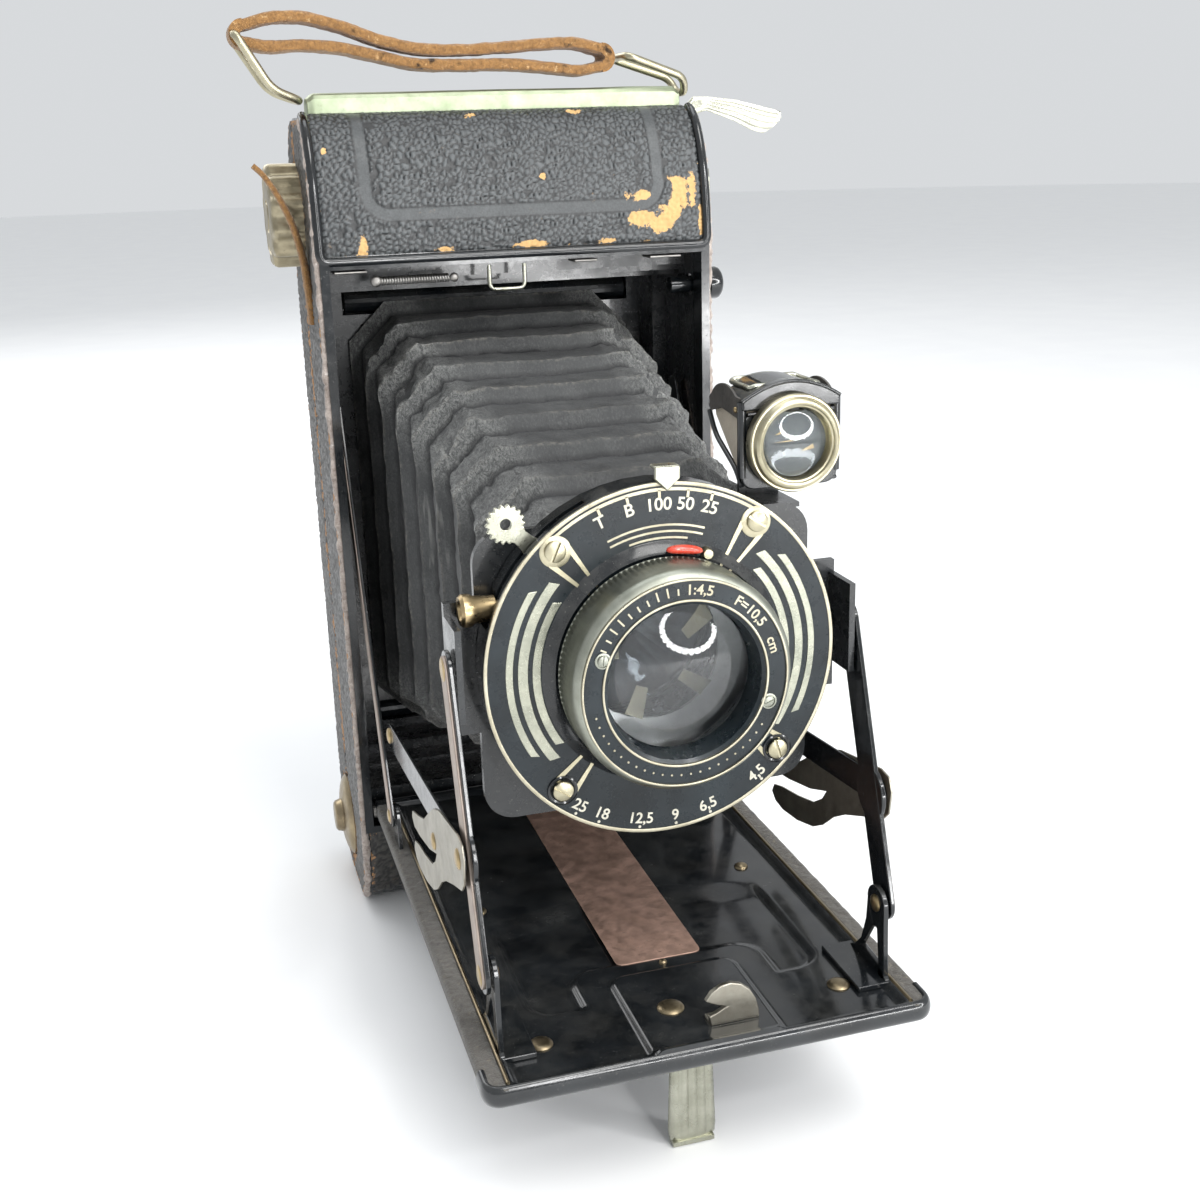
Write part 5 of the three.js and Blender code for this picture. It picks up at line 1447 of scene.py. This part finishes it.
def add_finder():
    """The waist-level finder: plate, arched hood, top window, side fans and front lens."""
    low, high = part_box("finder_body")
    x0, x1, z0, z1 = low.x / MM, high.x / MM, low.z / MM, high.z / MM
    front, back = low.y / MM, high.y / MM
    middle, half = (x0 + x1) / 2, (x1 - x0) / 2
    slot_z, edge_rise = z1 - 5.0, 2.7

    def arch(x, top):
        return top - edge_rise * ((x - middle) / half) ** 2

    plate = Shape()
    corners = rounded_path([(x0, z0, 0), (x0, slot_z, 0), (x1, slot_z, 0), (x1, z0, 0)], 2.6, 8,
                           closed=True)[:, :2]
    prism(plate, corners, "y", front, front + 0.8)
    piece("finder_front", plate, "finder", DUSTY, bevel=0.3)
    band = Shape()
    xs = np.linspace(x0, x1, 25)
    outline = [(x0, slot_z + 0.5), (x1, slot_z + 0.5)] + [(x, arch(x, z1 - 0.2)) for x in xs[::-1]]
    prism(band, outline, "y", front - 0.5, front + 0.9)
    piece("finder_arch", band, "finder", ENAMEL, bevel=0.35, segments=3)
    edges = Shape()
    swept(edges, [(x, front - 0.1, slot_z - 0.1) for x in np.linspace(x0 + 1, x1 - 1, 8)], 0.35,
          up=(0, 1, 0.01))
    swept(edges, [(x, front - 0.35, arch(x, z1 - 0.35)) for x in xs], 0.3, up=(0, 1, 0.01))
    for x in (x0 + 0.3, x1 - 0.3):
        swept(edges, rounded_path([(x, back + 0.6, z1 - 6.6), (x, back - 2, z1 - 10),
                                   (x, front + 3, z0 + 3),
                                   (x, front + 0.6, z0 + 0.6)], 3, 6), 0.42, up=(1, 0, 0.01))
        swept(edges, [(x, front + 0.6, z0 + 2), (x, front + 0.5, (z0 + z1) / 2),
                      (x, front + 0.6, z1 - 3.2)], 0.75, up=(1, 0, 0.01))
    piece("finder_edges", edges, "finder", ENAMEL, sharp=60)
    roof_y = np.linspace(front + 0.3, back, 24)
    roof_x = np.linspace(x0, x1, 30)
    top = np.zeros((24, 30, 3))
    top[..., 0], top[..., 1] = roof_x[None, :], roof_y[:, None]
    drop = 2.4 * smooth(roof_y, back - 6, back + 1)
    top[..., 2] = arch(roof_x, z1 - 0.3)[None, :] - drop[:, None]
    under = top.copy()
    under[..., 2] -= 0.7
    window = (np.abs(top[..., 0] - middle) < 5.8) & (top[..., 1] > front + 2.2) & (top[..., 1] < back - 3.2)
    top[..., 2] -= np.where(window, 0.35, 0)
    piece("finder_roof", grid_solid(Shape(), top, under), "finder", ENAMEL, sharp=40)
    frame_shape = Shape()
    ledge = z1 - 0.75
    path = rounded_path([(middle - 5.8, front + 2.2, ledge), (middle + 5.8, front + 2.2, ledge),
                         (middle + 5.8, back - 3.2, ledge - 0.3), (middle - 5.8, back - 3.2, ledge - 0.3)],
                        0.8, 5, closed=True)
    path[:, 2] = [arch(x, z1) - 0.15 for x in path[:, 0]]
    swept(frame_shape, path, 0.42, closed=True, up=(0.01, 0.02, 1))
    piece("finder_top_frame", frame_shape, "finder", NICKEL, sharp=60)
    pane = Shape()
    grid = np.zeros((10, 12, 3))
    grid[..., 0] = np.linspace(middle - 5.6, middle + 5.6, 12)[None, :]
    grid[..., 1] = np.linspace(front + 2.4, back - 3.4, 10)[:, None]
    grid[..., 2] = arch(grid[..., 0], z1) - 0.3
    below = grid.copy()
    below[..., 2] -= 0.4
    piece("finder_pane", grid_solid(pane, grid, below), "finder", PANE, "finder_top_glass")
    inner = Shape()
    prism(inner, [(front + 0.9, z0 + 1.0), (front + 0.9, z1 - 4.2), (back - 0.9, z1 - 5.0),
                  (back - 1.6, z1 - 7)], "x",
          x0 + 0.55, x1 - 0.55)
    piece("finder_mirror_block", inner, "finder", BEIGE, bevel=0.15)
    fans = Shape()
    arc = [(front + 0.9, z1 - 6.0), (front + 0.9, z1 - 2.6)]
    arc += [(front + 7.1 - 6.2 * math.cos(a), z1 - 5.2 + 4.0 * math.sin(a))
            for a in np.radians(np.linspace(42, 150, 14))]
    arc += [(back, z1 - 4.2), (back - 0.6, z1 - 6.4), (back - 5.5, z1 - 5.2)]
    for x in (x0 - 0.05, x1 - 0.35):
        prism(fans, arc, "x", x, x + 0.4)
    piece("finder_hood_sides", fans, "finder", MATT_BROWN, "finder_body", bevel=0.1)
    pins = Shape()
    rivet(pins, (x0 - 0.05, front + 2.2, z1 - 4.6), (-1, 0, 0), 0.5, 0.35, 16)
    rivet(pins, (x1 + 0.05, front + 2.2, z1 - 4.6), (1, 0, 0), 0.5, 0.35, 16)
    piece("finder_pins", pins, "finder", BRASS)
    low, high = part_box("finder_ring")
    centre = ((low.x + high.x) / 2 / MM, (low.z + high.z) / 2 / MM)
    face, rear, outer = low.y / MM, high.y / MM, high.x / MM - centre[0]
    rows = [(outer - 2.2, rear), (outer - 0.25, rear), (outer, rear - 0.25), (outer, face + 1.25),
            (outer - 0.2, face + 0.95),
            (outer - 0.45, face + 0.95), (outer - 0.6, face + 0.75), (outer - 0.75, face + 0.3),
            (outer - 1.05, face + 0.05),
            (outer - 1.3, face), (outer - 1.55, face + 0.12), (outer - 1.7, face + 0.45),
            (outer - 1.95, face + 0.55), (outer - 2.2, face + 1.2)]
    bezel = lathe(Shape(), "y", centre, rows, 96, closed=True)
    piece("finder_bezel", bezel, "finder", CREAM_NICKEL, "finder_ring", sharp=30)
    low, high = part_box("finder_lens")
    edge, face, rear = high.x / MM - centre[0], low.y / MM, high.y / MM
    rows = [(edge, rear), (edge, face + 1.3)] + [(edge * math.cos(a), face + 1.3 - 1.3 * math.sin(a))
                                                 for a in np.radians(np.linspace(10, 90, 10))]
    piece("finder_eye", lathe(Shape(), "y", centre, rows, 64), "finder", GLASS, "finder_lens",
          sharp=50)
    # A dark disc just behind the finder lens: painted shade of the finder's inside.
    dark = lathe(Shape(), "y", centre, [(edge - 0.1, rear + 0.2), (edge - 0.1, rear + 0.05),
                                        (0, rear + 0.05)], 48)
    finder_glint_flakes = Shape()
    piece("finder_back_disc", dark, "finder", FINDER_SHADE)
    # Brass flakes on the dark disc: painted glints seen in the finder lens.
    for x, z, wide, tall in ((-1.6, 0.2, 1.5, 0.14), (2.3, -1.0, 1.1, 0.5), (-2.2, 1.6, 0.7, 0.4)):
        prism(finder_glint_flakes, [(centre[0] + x - wide, centre[1] + z - tall),
                     (centre[0] + x + wide, centre[1] + z - tall * 0.4),
                     (centre[0] + x + wide * 0.8, centre[1] + z + tall)], "y", rear + 0.04, rear - 0.02)
    piece("finder_glints", finder_glint_flakes, "finder", BRASS)


# ---- struts, braces, stays ------------------------------------------------------------------

# The pins of the side linkage and the outline of its lock plates, as (y, z).
BED_PIVOT = (-112.8, 38.8)
KNEE = (-106.9, 55.8)
LENS_PIVOT = (-97.5, 83.0)
BRACE_END = (-37.6, 49.0)
STAY_FOOT = (-39.2, 32.8)
STAY_HEAD = (-5.2, 107.7)
LOCK_RIVET = (-85.2, 48.6)
LOCK_PLATE = ((-62.8, 44.2), (-69.5, 46.2), (-75.5, 48.3), (-81.0, 51.9), (-86.2, 55.0), (-92.0, 57.1),
              (-101.5, 58.8),
              (-107.0, 59.8), (-109.9, 59.4), (-110.9, 57.1), (-110.2, 53.0), (-108.0, 50.9),
              (-101.4, 48.6), (-94.4, 45.8),
              (-89.9, 43.3), (-85.5, 39.8), (-81.4, 37.6), (-74.6, 35.8), (-67.8, 35.0), (-64.3, 35.4),
              (-62.5, 36.8),
              (-63.6, 38.6), (-67.2, 39.6), (-74.5, 40.9), (-81.4, 42.6), (-85.1, 44.9), (-86.8, 47.0),
              (-80.0, 44.6),
              (-70.4, 42.5), (-64.5, 41.7), (-62.3, 42.8))


def side_prism(shape, outline, side, near, far):
    """A plate across x on the left or right side, between two distances from the middle."""
    prism(shape, outline, "x", side * near, side * far)
    return shape


def add_ears():
    """The two forked lugs on the bed which the struts turn on."""
    y, z = BED_PIVOT
    floor_z = 25.8
    for name, side in (("left", -1), ("right", 1)):
        ear = Shape()
        post = [(y - 3.6, floor_z), (y - 3.1, z - 4), (y - 3.0, z)]
        crown = [(y - 3 * math.cos(a), z + 3 * math.sin(a)) for a in np.linspace(0.2, math.pi - 0.2, 14)]
        low_inner = [(y + 3.0, z), (y + 0.8, z - 4.4), (y - 0.6, z - 4.4), (y - 1.5, floor_z + 2.4),
                     (y - 1.5, floor_z)]
        side_prism(ear, post + crown + low_inner, side, 31.9, 32.8)
        leg = [(y + 3.0, z), (y + 3.4, z - 4.5), (y + 5.0, z - 9), (y + 8.8, floor_z),
               (y + 4.4, floor_z + 3), (y + 0.8, z - 4.4)]
        side_prism(ear, leg, side, 31.95, 32.75)
        side_prism(ear, [(y - 4.2, floor_z), (y + 9.6, floor_z), (y + 8.6, floor_z + 0.9),
                         (y + 4.4, floor_z + 3), (y - 1.5, floor_z + 2.5),
                         (y - 4.2, floor_z + 0.9)], side, 31.9, 32.8)
        prism(ear, [(side * 27.0, y - 4.4), (side * 32.8, y - 4.4), (side * 32.8, y + 9.8),
                    (side * 27.0, y + 9.8)], "z", 25.6, 26.5)
        piece(f"ear_{name}", ear, "bed", ENAMEL, f"bed_ear_{name}", bevel=0.18, sharp=40)
        studs = Shape()
        rivet(studs, (side * 32.0, y, z), (-side, 0, 0), 1.5, 0.6)
        piece(f"ear_studs_{name}", studs, "bed", BRASS)


def flat_bar(name, outline, side, near, far, body, look, bevel, replaces=()):
    """One flat bar or plate of the linkage, between two distances from the middle."""
    shape = side_prism(Shape(), outline, side, near, far)
    piece(name, shape, body, look, replaces, bevel=bevel, sharp=40)


def bar_rivets(name, side, body, spots):
    """The rivets of one bar. Each is a (y, z), a distance from the middle, a radius and a height."""
    studs = Shape()
    for spot, off, radius, height in spots:
        rivet(studs, (side * off, *spot), (side, 0, 0), radius, height)
    piece(name, studs, body, BRASS)


def add_struts():
    """The struts, the braces with their lock plates, and the stays, with a rivet on every pin."""
    strut_pins = [BED_PIVOT, KNEE, LENS_PIVOT]
    brace_pins = [KNEE, BRACE_END]
    stay_pins = [STAY_FOOT, STAY_HEAD]
    for name, side in (("left", -1), ("right", 1)):
        strut, brace, stay = f"strut_{name}", f"brace_{name}", f"stay_{name}"
        core = side_prism(Shape(), bar_outline(strut_pins, 3.0, 16), side, 33.2, 34.0)
        knee = [(KNEE[0] + 4.6 * math.cos(a), KNEE[1] + 4.6 * math.sin(a))
                for a in np.linspace(0, 2 * math.pi, 40, endpoint=False)]
        side_prism(core, knee, side, 33.25, 34.05)
        piece(f"strut_core_{name}", core, strut, ENAMEL, strut, bevel=0.2, sharp=40)
        flat_bar(f"strut_strip_{name}", bar_outline(strut_pins, 2.15, 14), side, 33.9, 34.4, strut,
                 STRIP_METAL, 0.15)
        bar_rivets(f"strut_studs_{name}", side, strut,
                   ((BED_PIVOT, 34.35, 1.7, 0.33), (LENS_PIVOT, 34.35, 1.9, 0.33)))
        flat_bar(f"brace_link_{name}", bar_outline(brace_pins, 2.6, 14), side, 34.7, 35.12, brace,
                 ENAMEL, 0.12, brace)
        flat_bar(f"lock_plate_{name}", LOCK_PLATE, side, 35.1, 35.5, brace, PLATE_METAL, 0.14)
        bar_rivets(f"brace_studs_{name}", side, brace,
                   ((KNEE, 35.4, 1.7, 0.6), (LOCK_RIVET, 35.4, 1.5, 0.6), (BRACE_END, 35.1, 1.6, 0.6)))
        flat_bar(f"stay_core_{name}", bar_outline(stay_pins, 2.3, 14), side, 35.8, 36.35, stay,
                 ENAMEL, 0.15, stay)
        flat_bar(f"stay_strip_{name}", bar_outline(stay_pins, 1.7, 14), side, 36.3, 36.6, stay,
                 STRIP_METAL, 0.1)
        bar_rivets(f"stay_studs_{name}", side, stay,
                   ((STAY_FOOT, 36.5, 1.4, 0.5), (STAY_HEAD, 36.5, 1.3, 0.5)))


# ---- bed, foot ------------------------------------------------------------------------------

def oval(x, y, centre, wide, tall, edge):
    """1 inside an ellipse and 0 outside it, with a soft edge."""
    gap = np.hypot((x - centre[0]) / wide, (y - centre[1]) / tall)
    return 1 - smooth(gap, 1 - edge, 1 + edge)


def round_box(x, y, x_range, y_range, radius):
    """Distance inside a rectangle with round corners, negative outside it."""
    dx = np.abs(x - sum(x_range) / 2) - (x_range[1] - x_range[0]) / 2 + radius
    dy = np.abs(y - sum(y_range) / 2) - (y_range[1] - y_range[0]) / 2 + radius
    return radius - np.hypot(np.maximum(dx, 0), np.maximum(dy, 0)) - np.minimum(np.maximum(dx, dy), 0)


def add_bed():
    """The pressed bed with its hide edges, lip, hinge roll, rivets, runner, catch and foot."""
    low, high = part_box("bed")
    half, front = high.x / MM, low.y / MM
    rim_z, floor_z, under_z = 26.6, 25.55, 24.3
    flange = 33.0
    columns, rows = 150, 210
    x = np.linspace(-flange - 0.2, flange + 0.2, columns)
    y = np.linspace(front + 0.6, -20.2, rows)
    gx, gy = np.meshgrid(x, y)
    wall = np.minimum(flange - np.abs(gx), (gy - front) - 0.6)
    z = floor_z + (rim_z - floor_z) * (1 - smooth(wall, 0.2, 2.0))
    block = round_box(gx, gy, (-10.8, 11.8), (-125.5, -99.8), 3)
    z = z + 0.9 * smooth(block, -0.2, 1.0)
    basin = round_box(gx, gy, (-25.5, 26.0), (-107.0, -70.5), 5)
    shelf = np.minimum(basin, -round_box(gx, gy, (-15.5, 16.8), (-130, -96.0), 4))
    outside = np.maximum(np.abs(gx) - 8.4, gy + 96)
    trough = smooth(np.minimum(shelf, outside), -0.1, 1.5)
    trough = trough * smooth(-72 - gy - 0.25 * (np.abs(gx) - 12), 0, 7)
    z = z - 0.75 * trough
    for side in (-1, 1):
        z = z - 0.45 * oval(gx, gy, (side * 24.5, -40), 4.5, 9, 0.25)
    z = z + 0.03 * lattice(gx, gy, 11, 131)
    top = np.stack([gx, gy, z], 2)
    under = top.copy()
    under[..., 2] = under_z
    piece("bed_floor", grid_solid(Shape(), top, under), "bed", BED_ENAMEL, "bed", sharp=50,
          merge=False)
    for name, side in (("left", -1), ("right", 1)):
        columns, rows = 14, 260
        u = np.linspace(0, 1, columns)
        y = np.linspace(front + 0.3, -20.2, rows)
        gu, gy = np.meshgrid(u, y)
        outer = half - 0.15 - 2.8 * (1 - smooth(gy, front, front + 3.2)) ** 2
        gx = side * (flange + 0.15 + (outer - flange - 0.15) * gu)
        edge = np.minimum(gu, 1 - gu) * (half - flange)
        z = 26.3 + 0.22 * smooth(edge, 0, 0.6) + 0.10 * lattice(gx, gy, 0.8, 141)
        z = z + 0.06 * lattice(gx, gy, 2.4, 142) - 0.25 * (1 - smooth(edge, 0, 0.35))
        top = np.stack([gx, gy, z], 2)
        under = top.copy()
        under[..., 2] = 24.1
        piece(f"bed_edge_hide_{name}", grid_solid(Shape(), top, under), "bed", FLANGE_HIDE,
              sharp=60, merge=False)
        bead = Shape()
        path = [(side * (flange + 0.1), yy, 26.62) for yy in np.linspace(front + 1.5, -20.5, 40)]
        swept(bead, path, 0.33, up=(1, 0, 0.01))
        piece(f"bed_bead_{name}", bead, "bed", BRONZE, sharp=60)
        crown = [(STAY_FOOT[0] - 2.3 * math.cos(a), STAY_FOOT[1] + 2.2 * math.sin(a))
                 for a in np.linspace(0.1, math.pi - 0.1, 12)]
        outline = [(-42.2, 24.4), (-41.6, 32.8)] + crown + [(-36.8, 32.8), (-36.2, 24.4)]
        lug = side_prism(Shape(), outline, side, 34.7, 35.5)
        piece(f"stay_lug_{name}", lug, "bed", ENAMEL, bevel=0.15)
    lip = Shape()
    path = rounded_path([(-half + 0.6, front + 6, 25.0), (-half + 0.6, front + 0.9, 24.95),
                         (half - 0.6, front + 0.9, 24.95),
                         (half - 0.6, front + 6, 25.0)], 3.2, 10)
    swept(lip, path, 1.8, around=20, flat=(0.5, 1.0), up=(0, 0.001, 1))
    piece("bed_lip", lip, "bed", BED_ENAMEL, sharp=60)
    roll = Shape()
    hinge = (-18.2, 24.3)
    lathe(roll, "x", hinge, [(1.3, -36.6), (2.2, -36.5), (2.3, -36.2), (2.3, 36.2), (2.2, 36.5),
                             (1.3, 36.6)], 40, closed=True)
    piece("bed_hinge_roll", roll, "bed", ENAMEL, sharp=40)
    heads = Shape()
    for spot, radius in (((-25.6, -114.0), 1.9), ((25.0, -113.9), 1.9), ((25.6, -70), 1.3),
                         ((-25.6, -70), 1.3), ((0.1, -97.8), 0.7)):
        rivet(heads, (*spot, 25.5), (0, 0, 1), radius, 0.75)
    rivet(heads, (-3.7, -112.4, 26.35), (0, 0, 1), 2.2, 0.8)
    piece("bed_rivets", heads, "bed", BRONZE)
    # A worn runner strip, its brightened pinkish colour a painted window reflection.
    worn = Shape()
    prism(worn, rounded_path([(-7.6, -96.4, 0), (7.6, -96.4, 0), (7.6, -30, 0), (-7.6, -30, 0)], 1.5, 5,
                             closed=True)[:, :2],
          "z", 25.5, 25.72)
    piece("bed_runner", worn, "bed", RUNNER_WEAR_AND_REFLECTION, bevel=0.1)
    low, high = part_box("bed_catch_hook")
    y = low.y / MM
    beak = ((0.5, 26.7), (0.2, 28.2), (1.6, 28.7), (3.1, 29.5), (1.5, 30.0), (-0.4, 31.0), (0.6, 32.4),
            (2.2, 33.3), (3.9, 33.5),
            (5.6, 33.0), (7.1, 31.7), (8.1, 29.9), (8.6, 28.0), (8.7, 26.7))
    keeper = prism(Shape(), beak, "y", y, y + 0.95)
    prism(keeper, [(0.5, y + 0.1), (8.7, y + 0.1), (8.7, y + 3), (0.5, y + 3)], "z", 26.4, 27.1)
    piece("catch_beak", keeper, "bed", PLATE_METAL, "bed_catch_hook", bevel=0.22, segments=3)
    low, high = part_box("bed_foot")
    top_z, bottom_z, front_y, back_y = high.z / MM - 1.2, low.z / MM, low.y / MM, high.y / MM
    rows, columns = 40, 49
    t, v = np.linspace(0, 1, rows), np.linspace(-1, 1, columns)
    wide = np.interp(t, (0, 0.05, 0.12, 0.9, 1), (3.2, 3.9, 4.05, 3.5, 3.4))
    ends = smooth(t, 0.04, 0.1) * (1 - smooth(t, 0.9, 0.97))
    ribs = 0.3 * np.abs(np.cos(v * 2.5 * math.pi))[None, :] * ends[:, None]
    top = np.zeros((rows, columns, 3))
    top[..., 0] = wide[:, None] * v
    top[..., 1] = front_y + 0.45 - ribs + 0.5 * (v ** 4)[None, :]
    top[..., 2] = (bottom_z + 0.1 + (top_z - bottom_z) * t)[:, None]
    under = top.copy()
    under[..., 1] = back_y - 0.5
    shape = grid_solid(Shape(), top, under)
    prism(shape, [(-3.6, front_y + 0.2), (3.6, front_y + 0.2), (3.6, back_y), (-3.6, back_y)], "z",
          bottom_z, bottom_z + 0.8)
    piece("foot_tongue", shape, "foot", NICKEL, "bed_foot", sharp=45, merge=False)
    knuckle = lathe(Shape(), "x", (-111.0, 22.8), [(0.6, -3.9), (1.15, -3.9), (1.2, -3.7), (1.2, 3.7),
                                                   (1.15, 3.9), (0.6, 3.9)], 28, closed=True)
    piece("foot_knuckle", knuckle, "foot", NICKEL)


# ---- knob, studs, button, back --------------------------------------------------------------

def add_side_parts():
    """The winding knob and its plate, the three spool studs, the release button and the cable socket."""
    low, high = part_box("winding_knob")
    face, rear = low.x / MM, high.x / MM
    centre = ((low.y + high.y) / 2 / MM, (low.z + high.z) / 2 / MM)
    outer = (high.z - low.z) / 2 / MM
    rows = [(outer - 1.6, rear), (outer - 0.4, rear - 0.1), (outer, rear - 0.5), (outer, face + 1.3),
            (outer - 0.3, face + 0.6),
            (outer - 1.0, face + 0.25), (outer - 2.6, face + 0.2), (outer - 2.8, face + 0.45),
            (outer - 3.2, face + 0.45),
            (outer - 3.4, face + 0.2), (3.4, face + 0.15), (3.2, face + 0.5), (2.7, face + 0.5),
            (2.5, face + 0.05), (0, face)]
    knob = lathe(Shape(), "x", centre, rows, 240, teeth=(12, 1.1, 1, 5))
    piece("knob_wheel", knob, "knob", KNOB_METAL, "winding_knob", sharp=40)
    low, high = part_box("knob_plate")
    edge = (high.z - low.z) / 2 / MM
    x0, x1 = low.x / MM, high.x / MM
    plate = lathe(Shape(), "x", centre, [(edge, x1), (edge, x0 + 0.5), (edge - 0.4, x0 + 0.1),
                                         (edge - 1.0, x0), (edge - 1.3, x0 + 0.3),
                                         (2.2, x0 + 0.3), (2.0, x0), (0, x0)], 96)
    piece("knob_seat", plate, "camera", BRONZE, "knob_plate")
    for name, x_sign in (("lower_left", -1), ("lower_right", 1), ("upper_right", 1)):
        low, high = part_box(f"spool_stud_{name}")
        z_mid = (low.z + high.z) / 2 / MM
        outer = (high.z - low.z) / 2 / MM
        tip = (high if x_sign > 0 else low).x / MM
        base = x_sign * 39.6
        rise = tip - base
        rows = [(3.0, (low if x_sign > 0 else high).x / MM), (3.0, base - x_sign * 0.4), (outer, base),
                (outer, base + rise * 0.1)]
        rows += [(outer * math.cos(a) * 0.97, base + rise * (0.12 + 0.5 * math.sin(a)))
                 for a in np.radians((12, 25, 38, 50, 60))]
        rows += [(outer * 0.42, base + rise * 0.56), (outer * 0.38, base + rise * 0.9), (outer * 0.33, tip),
                 (0, tip)]
        dome = lathe(Shape(), "x", ((low.y + high.y) / 2 / MM, z_mid), rows, 80)
        piece(f"stud_dome_{name}", dome, f"stud_{name}", BRONZE, f"spool_stud_{name}", sharp=40)
    low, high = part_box("release_button")
    centre = ((low.y + high.y) / 2 / MM, (low.z + high.z) / 2 / MM)
    outer, tip = (high.z - low.z) / 2 / MM, high.x / MM
    rows = [(outer * 0.5, low.x / MM), (outer * 0.5, 41.1), (outer, 41.2), (outer, tip - 1.6)]
    rows += [(outer * math.cos(a), tip - 1.6 + 1.6 * math.sin(a)) for a in np.radians((20, 40, 60, 78, 90))]
    piece("button_dome", lathe(Shape(), "x", centre, rows, 48), "release_button", ENAMEL,
          "release_button", sharp=50)
    low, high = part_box("cable_socket")
    centre = (low.z + high.z) / 2 / MM
    y = (low.y + high.y) / 2 / MM
    outer, x0, x1 = (high.z - low.z) / 2 / MM, low.x / MM, high.x / MM
    rows = [(outer * 0.75, x1), (outer * 0.85, x0 + 2.2), (outer, x0 + 1.6), (outer, x0 + 0.5),
            (outer - 0.4, x0), (outer - 1.0, x0 + 0.1),
            (outer - 1.3, x0 + 0.8), (outer - 1.35, x1)]
    piece("cable_bush", lathe(Shape(), "x", (y, centre), rows, 48, closed=True), "lens", BRASS,
          "cable_socket", sharp=35)


# ---- looks of the CAD pieces that stay ------------------------------------------------------

# Every other CAD piece that shows is black enamel.
KEPT = {
    "body_shell": DUSTY, "bed_hinge_rod": STEEL, "red_window": RED_GLASS, "window_cover": DUSTY,
    "pressure_plate": DUSTY, "take_up_spool": DUSTY, "roller_lower": BRASS, "roller_upper": BRASS,
    "lens_standard": DUSTY, "shutter_face": DIAL, "iris_blades": STEEL, "rear_cell": DUSTY,
        "rear_glass": GLASS,
}


def paint_kept():
    for name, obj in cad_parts.items():
        data = obj.data
        data.materials.clear()
        data.materials.append(KEPT.get(name, ENAMEL))


add_camera()
add_lights()
add_floor()
paint_kept()
add_leather()
add_lip()
add_catch()
add_top()
bellows()
add_dial()
add_pointer_and_lever()
add_lens_barrel()
add_finder()
add_struts()
add_ears()
add_bed()
add_side_parts()
